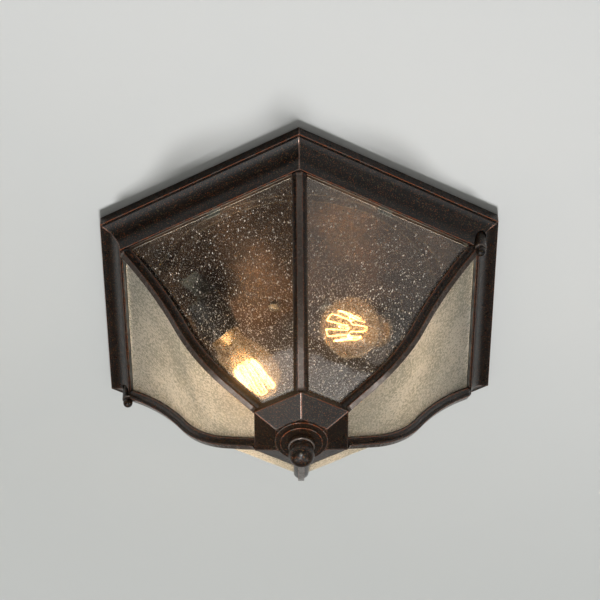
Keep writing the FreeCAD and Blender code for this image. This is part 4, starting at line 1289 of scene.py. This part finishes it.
@dataclass
class CeilingPan:
    """The pan: a hexagonal tray with a round recess, all its bends rounded."""

    finish: Material
    corner: float = 168 * MM
    depth: float = 10 * MM
    recess: float = 119 * MM
    slope: float = 10 * MM
    drop: float = 4 * MM
    sheet: float = 1 * MM
    bend: float = 1.2 * MM
    margin: float = 12 * MM             # round part of the flange
    edge: float = 0.6 * MM
    crease: float = 50.0

    def build(self) -> None:
        """Makes the pan as rings that pass from a circle to the hexagon and dresses it."""
        disc, flange = -(self.drop + self.sheet), -self.depth
        last, inside = self.recess + self.margin, flange + self.sheet
        # Both bends of the recess are marked 1, which the enamel shows as a painted highlight.
        shape = section([Turn(0, disc), Turn(self.recess - self.slope, disc, self.bend, 1.0),
                         Turn(self.recess, flange, self.bend, 1.0), Turn(last, flange)],
                        closed=False, steps=6, guard=0.6 * MM)
        angles = np.linspace(0, math.tau, 361)[:-1]
        border = self.corner * TO_SIDE / np.cos((angles + math.pi / 2) % STEP - STEP / 2)
        outer, inner = border - self.edge - last, border - 2 * self.sheet - last
        rings = [(radius, height) for radius, height in shape.points]
        rings += [(last + outer * share, flange) for share in (0.5, 1.0)]
        rings += [(border, flange + self.edge), (border, -self.edge), (border - self.edge / 2, 0.0),
                  (border - self.sheet, 0.0), (border - self.sheet, inside)]
        rings += [(last + inner * share, inside) for share in (1.0, 0.5)]
        rings.append((last, inside))
        rings += [(radius, height + self.sheet) for radius, height in shape.points[::-1]
                  if radius < last - 1 * MM]
        rows = np.stack([np.stack([radius * np.cos(angles), radius * np.sin(angles),
                                   np.full_like(angles, height)], axis=-1) for radius, height in rings])
        # the marks of the painted highlight, on the rows of the bends
        rub = np.zeros(rows.shape[:2])
        rub[:len(shape.rub)] = shape.rub[:, None]
        pan = new_object("pan_shell", grid_mesh("pan", rows, rub))
        pan.data.set_sharp_from_angle(angle=math.radians(self.crease))
        dress(pan, MOUNT, ["ceiling_pan"], self.finish)


@dataclass
class Lamp:
    """One lamp: ribbed socket, envelope, wire and the light that it gives."""

    name: str
    turn: float
    power: float                        # watts
    socket: Material
    glass: Material
    wire: Material
    glow: str = "#ffdcb5"
    glow_size: float = 14 * MM
    mouth_radius: float = 59.3 * MM
    mouth_angle: float = math.radians(178.6)
    mouth_drop: float = 37.6 * MM
    heading: float = math.radians(49.1)
    dip: float = math.radians(33.8)
    socket_length: float = 33 * MM
    socket_radius: float = 15.6 * MM
    socket_wall: float = 2.0 * MM
    socket_floor: float = 3.0 * MM
    rib_height: float = 0.7 * MM
    rib_start: float = -15 * MM
    rib_pitch: float = 3 * MM
    rib_count: int = 5
    rib_ends: tuple[float, float] = (0.2 * MM, 1.9 * MM)
    groove_ends: tuple[float, float] = (2.2 * MM, 2.8 * MM)
    base_top: float = -1.1 * MM         # where the envelope's neck leaves the metal base
    envelope: float = 23.6 * MM
    reach: float = 61 * MM
    neck: float = 12.6 * MM
    neck_length: float = 9 * MM
    wall: float = 0.9 * MM
    crease: float = 60.0
    legs: int = 12
    wire_radius: float = 0.3 * MM
    wire_bend: float = 1.6 * MM
    low_ring: float = 8.5 * MM
    high_ring: float = 11.5 * MM
    wire_start: float = 27.9 * MM
    wire_length: float = 27 * MM
    light_share: float = 0.45           # where the light stands along the wire

    def axis(self) -> Vector:
        """Direction in which the lamp points."""
        level = Vector((math.cos(self.heading + self.turn), math.sin(self.heading + self.turn), 0))
        return level * math.cos(self.dip) - UP * math.sin(self.dip)

    def mouth(self) -> Vector:
        """Centre of the socket's mouth."""
        angle = self.mouth_angle + self.turn
        return Vector((math.cos(angle), math.sin(angle), 0)) * self.mouth_radius - UP * self.mouth_drop

    def outline(self, inset: float) -> list[tuple[float, float]]:
        """Half outline of the envelope, from its neck to its tip.

        Args:
            inset: How far it is inside the outer face.

        Returns:
            The points as radius and height.
        """
        neck, radius = self.neck - inset, self.envelope - inset
        centre = self.reach - self.envelope
        neck_top = self.base_top + self.neck_length
        drop = centre - neck_top
        turn = math.atan2(-drop, neck) + math.acos(radius / math.hypot(drop, neck))
        return ([(neck, self.base_top), (neck, neck_top)]
                + [(radius * math.cos(angle), centre + radius * math.sin(angle))
                   for angle in np.linspace(turn, math.pi / 2, 30)])

    def build_socket(self) -> None:
        """Makes the socket with grooves round its mouth and dresses it."""
        rear, radius = -self.socket_length, self.socket_radius
        waist, inner, floor = radius - self.rib_height, radius - self.socket_wall, rear + self.socket_floor
        soft, edge = 0.2 * MM, 0.3 * MM
        turns = [Turn(0, rear), Turn(waist, rear, 0.8 * MM), Turn(waist, self.rib_start, soft)]
        for number in range(self.rib_count):
            low = self.rib_start + self.rib_pitch * number
            turns += [Turn(radius, low + place, edge) for place in self.rib_ends]
            turns += [Turn(waist, low + place, soft) for place in self.groove_ends]
        turns = turns[:-2] + [Turn(radius, 0, 0.5 * MM), Turn(inner, 0, 0.4 * MM), Turn(inner, floor, edge),
                              Turn(0, floor)]
        mesh = lathe("socket", section(turns, closed=False, steps=3, guard=0.2 * MM), self.mouth(),
                     self.axis(), 56, closed=False)
        dress(new_object(f"ribbed_socket_{self.name}", mesh), MOUNT,
              [f"socket_body_{self.name}"], self.socket)

    def build_envelope(self) -> None:
        """Makes the thin blown envelope and dresses it."""
        points = self.outline(0.0) + self.outline(self.wall)[::-1]
        shape = Section(np.array(points), np.zeros(len(points)))
        mesh = lathe("envelope", shape, self.mouth(), self.axis(), 64)
        mesh.set_sharp_from_angle(angle=math.radians(self.crease))
        dress(new_object(f"lamp_envelope_{self.name}", mesh), f"bulb_{self.name}",
              [f"bulb_glass_{self.name}"], self.glass, Shadow.LETS_THROUGH)

    def build_wire(self) -> None:
        """Makes the long wire that runs up and down round the stem and dresses it."""
        turn = UP.rotation_difference(self.axis()).to_matrix()
        ends = ((self.low_ring, self.wire_start), (self.high_ring, self.wire_start + self.wire_length))
        points = []
        for leg in range(self.legs):
            angle = leg * math.tau / self.legs
            for radius, height in (ends if leg % 2 == 0 else ends[::-1]):
                here = Vector((radius * math.cos(angle), radius * math.sin(angle), height))
                points.append(tuple(self.mouth() + turn @ here))
        mesh = bpy.data.meshes.new("wire")
        mesh.from_pydata(points, [(number, number + 1) for number in range(len(points) - 1)], [])
        tree = wire_tree(self.wire, self.wire_radius, self.wire_bend)
        dress(tree.grow(f"glowing_wire_{self.name}", mesh), f"bulb_{self.name}",
              [f"bulb_filament_{self.name}"], shadow=Shadow.LETS_THROUGH)

    def shine(self) -> None:
        """Puts the lamp's light near the middle of its wire."""
        data = bpy.data.lights.new(f"lamp_light_{self.name}", "POINT")
        data.energy, data.color, data.shadow_soft_size = self.power, linear(self.glow)[:3], self.glow_size
        light = bpy.data.objects.new(data.name, data)
        light.location = self.mouth() + self.axis() * (self.wire_start + self.wire_length * self.light_share)
        light.visible_camera = light.visible_transmission = False
        bpy.context.scene.collection.objects.link(light)
        light.parent = frame["bodies"][f"bulb_{self.name}"]

    def build(self) -> None:
        """Makes the whole lamp."""
        self.build_socket()
        self.build_envelope()
        self.build_wire()
        self.shine()


@dataclass
class CarriedParts:
    """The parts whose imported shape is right: each gets its own finish."""

    finishes: dict[str, Material]

    def build(self) -> None:
        """Gives every shown part the finish of its slot."""
        slots = {part["node"]: part["material_slot"] for part in frame["record"]["subparts"]}
        for name, thing in frame["nodes"].items():
            if thing.hide_render:
                continue
            finish = self.finishes[slots[name]]
            if not thing.material_slots:
                thing.data.materials.append(finish)
            for slot in thing.material_slots:
                slot.link = "OBJECT"
                slot.material = finish
            if slots[name] == "lamp_glass":
                thing.visible_shadow = False
            LOG.info("%s keeps its shape, in %s", name, finish.name)


# ------------------------------------------------------------------ room
@dataclass(frozen=True)
class RoomLight:
    """One light of the room: a panel that glows, or a far sun."""

    name: str
    place: tuple[float, float, float]
    strength: float                     # watts, or a sun's strength
    size: tuple[float, ...]             # width and height of a panel, or the one angle of a sun
    falls_on: Lit = Lit.OBJECT
    target: float = -0.08               # height of the point of the axis that it faces

    def build(self, group: Collection) -> None:
        """Adds the light.

        Args:
            group: What it falls on.
        """
        is_sun = len(self.size) == 1
        data = bpy.data.lights.new(self.name, "SUN" if is_sun else "AREA")
        data.energy = self.strength
        if is_sun:
            data.angle = self.size[0]
        else:
            data.shape, data.size, data.size_y = "RECTANGLE", *self.size
        thing = bpy.data.objects.new(self.name, data)
        thing.location = self.place
        way = Vector((0, 0, self.target)) - Vector(self.place)
        thing.rotation_euler = way.to_track_quat("-Z", "Y").to_euler()
        thing.light_linking.receiver_collection = group
        bpy.context.scene.collection.objects.link(thing)


LIGHTS = (
    RoomLight("far_window", (0.05, 0.69, -0.725), 3.1, (math.radians(12),), Lit.CEILING, 0.0),
    RoomLight("left_panel", (-0.58, 0.06, -1.3), 3.0, (1.0, 0.6)),
    RoomLight("right_panel", (0.5, 0.06, -1.3), 2.1, (0.8, 0.6)),
    RoomLight("spot_below", (-0.2, -0.27, -1.3), 3.4, (0.15, 0.15)),
    RoomLight("left_wall", (-1.31, 0.53, -1.33), 1.9, (0.3, 0.3)),
    RoomLight("right_wall", (1.31, 0.53, -1.33), 2.3, (0.3, 0.3)),
    RoomLight("near_window", (1.15, -0.91, -0.72), 1.3, (0.7, 1.2)),
    RoomLight("finial_spot", (-0.1, -1.1, -1.5), 16.0, (0.2, 0.2), Lit.FINIAL),
    RoomLight("top_fill", (0.5, -0.4, 1.4), 6.0, (1.2, 1.2)),
)


@dataclass
class Room:
    """The ceiling that the lantern hangs from, with painted light that is brighter on its near side, the pale
    floor and the soft light.
    """

    # The ceiling's near and far colours are painted light: lighter on the near side, darker on the far side.
    lit_near_ceiling: str = "#dcdddc"
    shaded_far_ceiling: str = "#c6c8c6"
    floor_colour: str = "#c9c8c5"
    air_colour: str = "#bcbcbe"
    air_strength: float = 0.10
    ceiling_half: float = 5.0
    ceiling_height: float = 0.4 * MM
    floor_half: float = 3.2
    floor_drop: float = 2.4
    light_falloff: float = 0.35                  # half the distance over which the ceiling's painted light turns to painted shade
    slant: float = -0.45                # how much of that painted light's change runs sideways
    paint_roughness: float = 0.9
    paint_sheen: float = 0.2
    groups: dict[Lit, Collection] = field(default_factory=dict)

    def paint(self, name: str, near: str, far: str, clear_from_above: bool) -> Material:
        """Matt wall paint, rolled on: a flat pale tone. Where its two colours differ it slowly changes across
        the room as painted light, lighter near and darker far.

        Args:
            name: What it is on.
            near: Its colour on the near side, the lit end of any painted light.
            far: Its colour on the far side, the shaded end of any painted light.
            clear_from_above: Whether it doesn't show from above, so that the mount shows from there.

        Returns:
            The material.
        """
        paint = Recipe(f"matt_wall_paint_{name}")
        along = paint.add("ShaderNodeSeparateXYZ", {0: paint.place})
        links = {0: along, 1: self.slant, 2: along.node.outputs[1]}
        way = paint.add("ShaderNodeMath", links, operation="MULTIPLY_ADD")
        # The share of the far colour: the painted shade across the ceiling.
        share = paint.add("ShaderNodeMapRange", {0: way, 1: -self.light_falloff, 2: self.light_falloff}, **SMOOTH)
        colour = paint.layers(near, (share, far))
        veil = ()
        if clear_from_above:
            veil = (paint.add("ShaderNodeNewGeometry", out="Backfacing"),
                    paint.add("ShaderNodeBsdfTransparent"))
        return paint.close({"Base Color": colour, "Roughness": self.paint_roughness,
                            "Specular IOR Level": self.paint_sheen}, (), veil)

    def sheet(self, name: str, height: float, half: float, finish: Material,
              faces_down: bool) -> Object:
        """Lays one plain square of the room.

        Args:
            name: Its name.
            height: Its height.
            half: Half its width.
            finish: Its material.
            faces_down: Whether its front is below.

        Returns:
            The sheet.
        """
        mesh = bpy.data.meshes.new(name)
        corners = [(-half, -half, height), (half, -half, height), (half, half, height), (-half, half, height)]
        mesh.from_pydata(corners, [], [(3, 2, 1, 0) if faces_down else (0, 1, 2, 3)])
        mesh.materials.append(finish)
        thing = new_object(name, mesh)
        thing.visible_shadow = False
        return thing

    def group(self, kind: Lit, thing: Object, state: str = "INCLUDE") -> None:
        """Makes a group that a light can be kept to.

        Args:
            kind: The group.
            thing: The one thing in it.
            state: INCLUDE for the thing alone, EXCLUDE for all but it.
        """
        group = bpy.data.collections.new(f"light_group_{kind.name.lower()}")
        group.objects.link(thing)
        group.collection_objects[0].light_linking.link_state = state
        self.groups[kind] = group

    def build(self) -> None:
        """Makes the room, its light and the view's colours."""
        ceiling_paint = self.paint("ceiling", self.lit_near_ceiling, self.shaded_far_ceiling, True)
        ceiling = self.sheet("ceiling", self.ceiling_height, self.ceiling_half, ceiling_paint, True)
        self.group(Lit.CEILING, ceiling)
        self.group(Lit.OBJECT, ceiling, "EXCLUDE")
        self.group(Lit.FINIAL, bpy.data.objects[FINIAL])
        floor_paint = self.paint("floor", self.floor_colour, self.floor_colour, False)
        self.sheet("floor", -self.floor_drop, self.floor_half, floor_paint, False)
        for light in LIGHTS:
            light.build(self.groups[light.falls_on])
        world = bpy.data.worlds.new("dim_room")
        world.use_nodes = True
        air = world.node_tree.nodes["Background"].inputs
        air["Color"].default_value, air["Strength"].default_value = linear(self.air_colour), self.air_strength
        bpy.context.scene.world = world
        bpy.context.scene.view_settings.view_transform = "Standard"
        self.lens_glow()

    def lens_glow(self) -> None:
        """Lets the lamps bloom a little, as they do in a lens."""
        bpy.context.scene.use_nodes = True
        lens = Tree(bpy.context.scene.node_tree)
        links = {"Image": lens.add("CompositorNodeRLayers", out="Image"), "Threshold": 1.1,
                 "Smoothness": 0.3, "Clamp": True, "Maximum": 6.0, "Strength": 0.38, "Size": 0.5}
        glow = lens.add("CompositorNodeGlare", links, "Image", glare_type="BLOOM", quality="HIGH")
        lens.add("CompositorNodeComposite", {"Image": glow})


@dataclass(frozen=True)
class Viewpoint:
    """The camera of the photograph, solved from the hexagon's corners."""

    place: Vector = Vector((-0.00965, -1.44677, -1.56201))
    right: Vector = Vector((0.999955, 0.0028567, -0.0090512))
    up: Vector = Vector((0.0082452, -0.7337896, 0.67933))
    ahead: Vector = Vector((0.0047011, 0.679374, 0.73378))
    lens: float = 160.045
    sensor: float = 36.0

    def build(self) -> None:
        """Makes the camera."""
        data = bpy.data.cameras.new("camera")
        data.lens, data.sensor_width = self.lens, self.sensor
        data.clip_start, data.clip_end = 0.05, 60
        camera = bpy.data.objects.new("camera", data)
        axes = Matrix((self.right, self.up, -self.ahead)).transposed()
        camera.matrix_world = Matrix.Translation(self.place) @ axes.to_4x4()
        bpy.context.scene.collection.objects.link(camera)
        bpy.context.scene.camera = camera


def finishes() -> dict[str, Material]:
    """Makes one material for each slot of the record.

    Returns:
        The material of each slot.
    """
    kinds = {
        BRONZE: RubbedBronze(),
        "pan_enamel": PanEnamel(),
        "seeded_glass": SeededGlass(),
        "lamp_glass": LampGlass(),
        "filament": GlowingWire(),
        # Zinc plated over steel: dull, pale grey, with cloudy reflections.
        "zinc_steel": Metal("zinc_plated_steel", "#96968f", "#6c6b66", 0.4),
        # Drawn brass shells: yellow, with clear but softened reflections.
        "shell_brass": Metal("drawn_brass", "#b98f49", "#8f6a30", 0.3),
        # Nickel over brass on the lamps' bases: warm grey, and the brightest of the metals.
        "base_nickel": Metal("nickel_plated_brass", "#c2b9a8", "#948a79", 0.26),
        # Green lacquer over steel on the ground screw: half of it paint, so half metallic.
        "green_screw": Metal("green_lacquered_steel", "#2f7a45", "#23603a", 0.38, 0.5),
        # Phenolic, pressed in a hot mould: warm black with a soft gloss.
        "phenolic": Moulded("moulded_black_phenolic", "#1d1a19", "#121010", 0.42, 0.6 * MM, 0.02 * MM),
        # Glass fibre pressed to a pad: straw colour, dull, with a coarse felted grain.
        "glass_fibre": Moulded("pressed_glass_fibre", "#d8cfae", "#b9ae88", 0.95, 0.8 * MM, 0.15 * MM),
        # Nylon, injected into a mould: neutral black, nearly smooth.
        "nylon": Moulded("moulded_nylon", "#20201f", "#171716", 0.45, 0.5 * MM, 0.01 * MM),
    }
    return {slot: kind.make() for slot, kind in kinds.items()}


def main() -> None:
    """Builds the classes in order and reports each."""
    logging.basicConfig(level=logging.INFO, format="%(message)s")
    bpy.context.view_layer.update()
    made = finishes()
    bronze, ogee = made[BRONZE], Ogee()
    cap = BottomCap(bronze, ogee)
    lamps = [Lamp(name, turn, power, made["phenolic"], made["lamp_glass"], made["filament"])
             for name, turn, power in (("left", 0.0, 0.14), ("right", math.pi, 0.08))]
    pieces = (Viewpoint(), FrameMoulding(bronze), Ribs(bronze, ogee),
              GlassPanes(made["seeded_glass"], TrappedAir().make(), ogee), cap,
              Finial(bronze, cap.bottom()), Knobs(bronze), CeilingPan(made["pan_enamel"]), *lamps,
              CarriedParts(made), Room())
    for piece in pieces:
        piece.build()
        LOG.info("built: %s", type(piece).__name__)


if __name__ == "__main__":
    main()
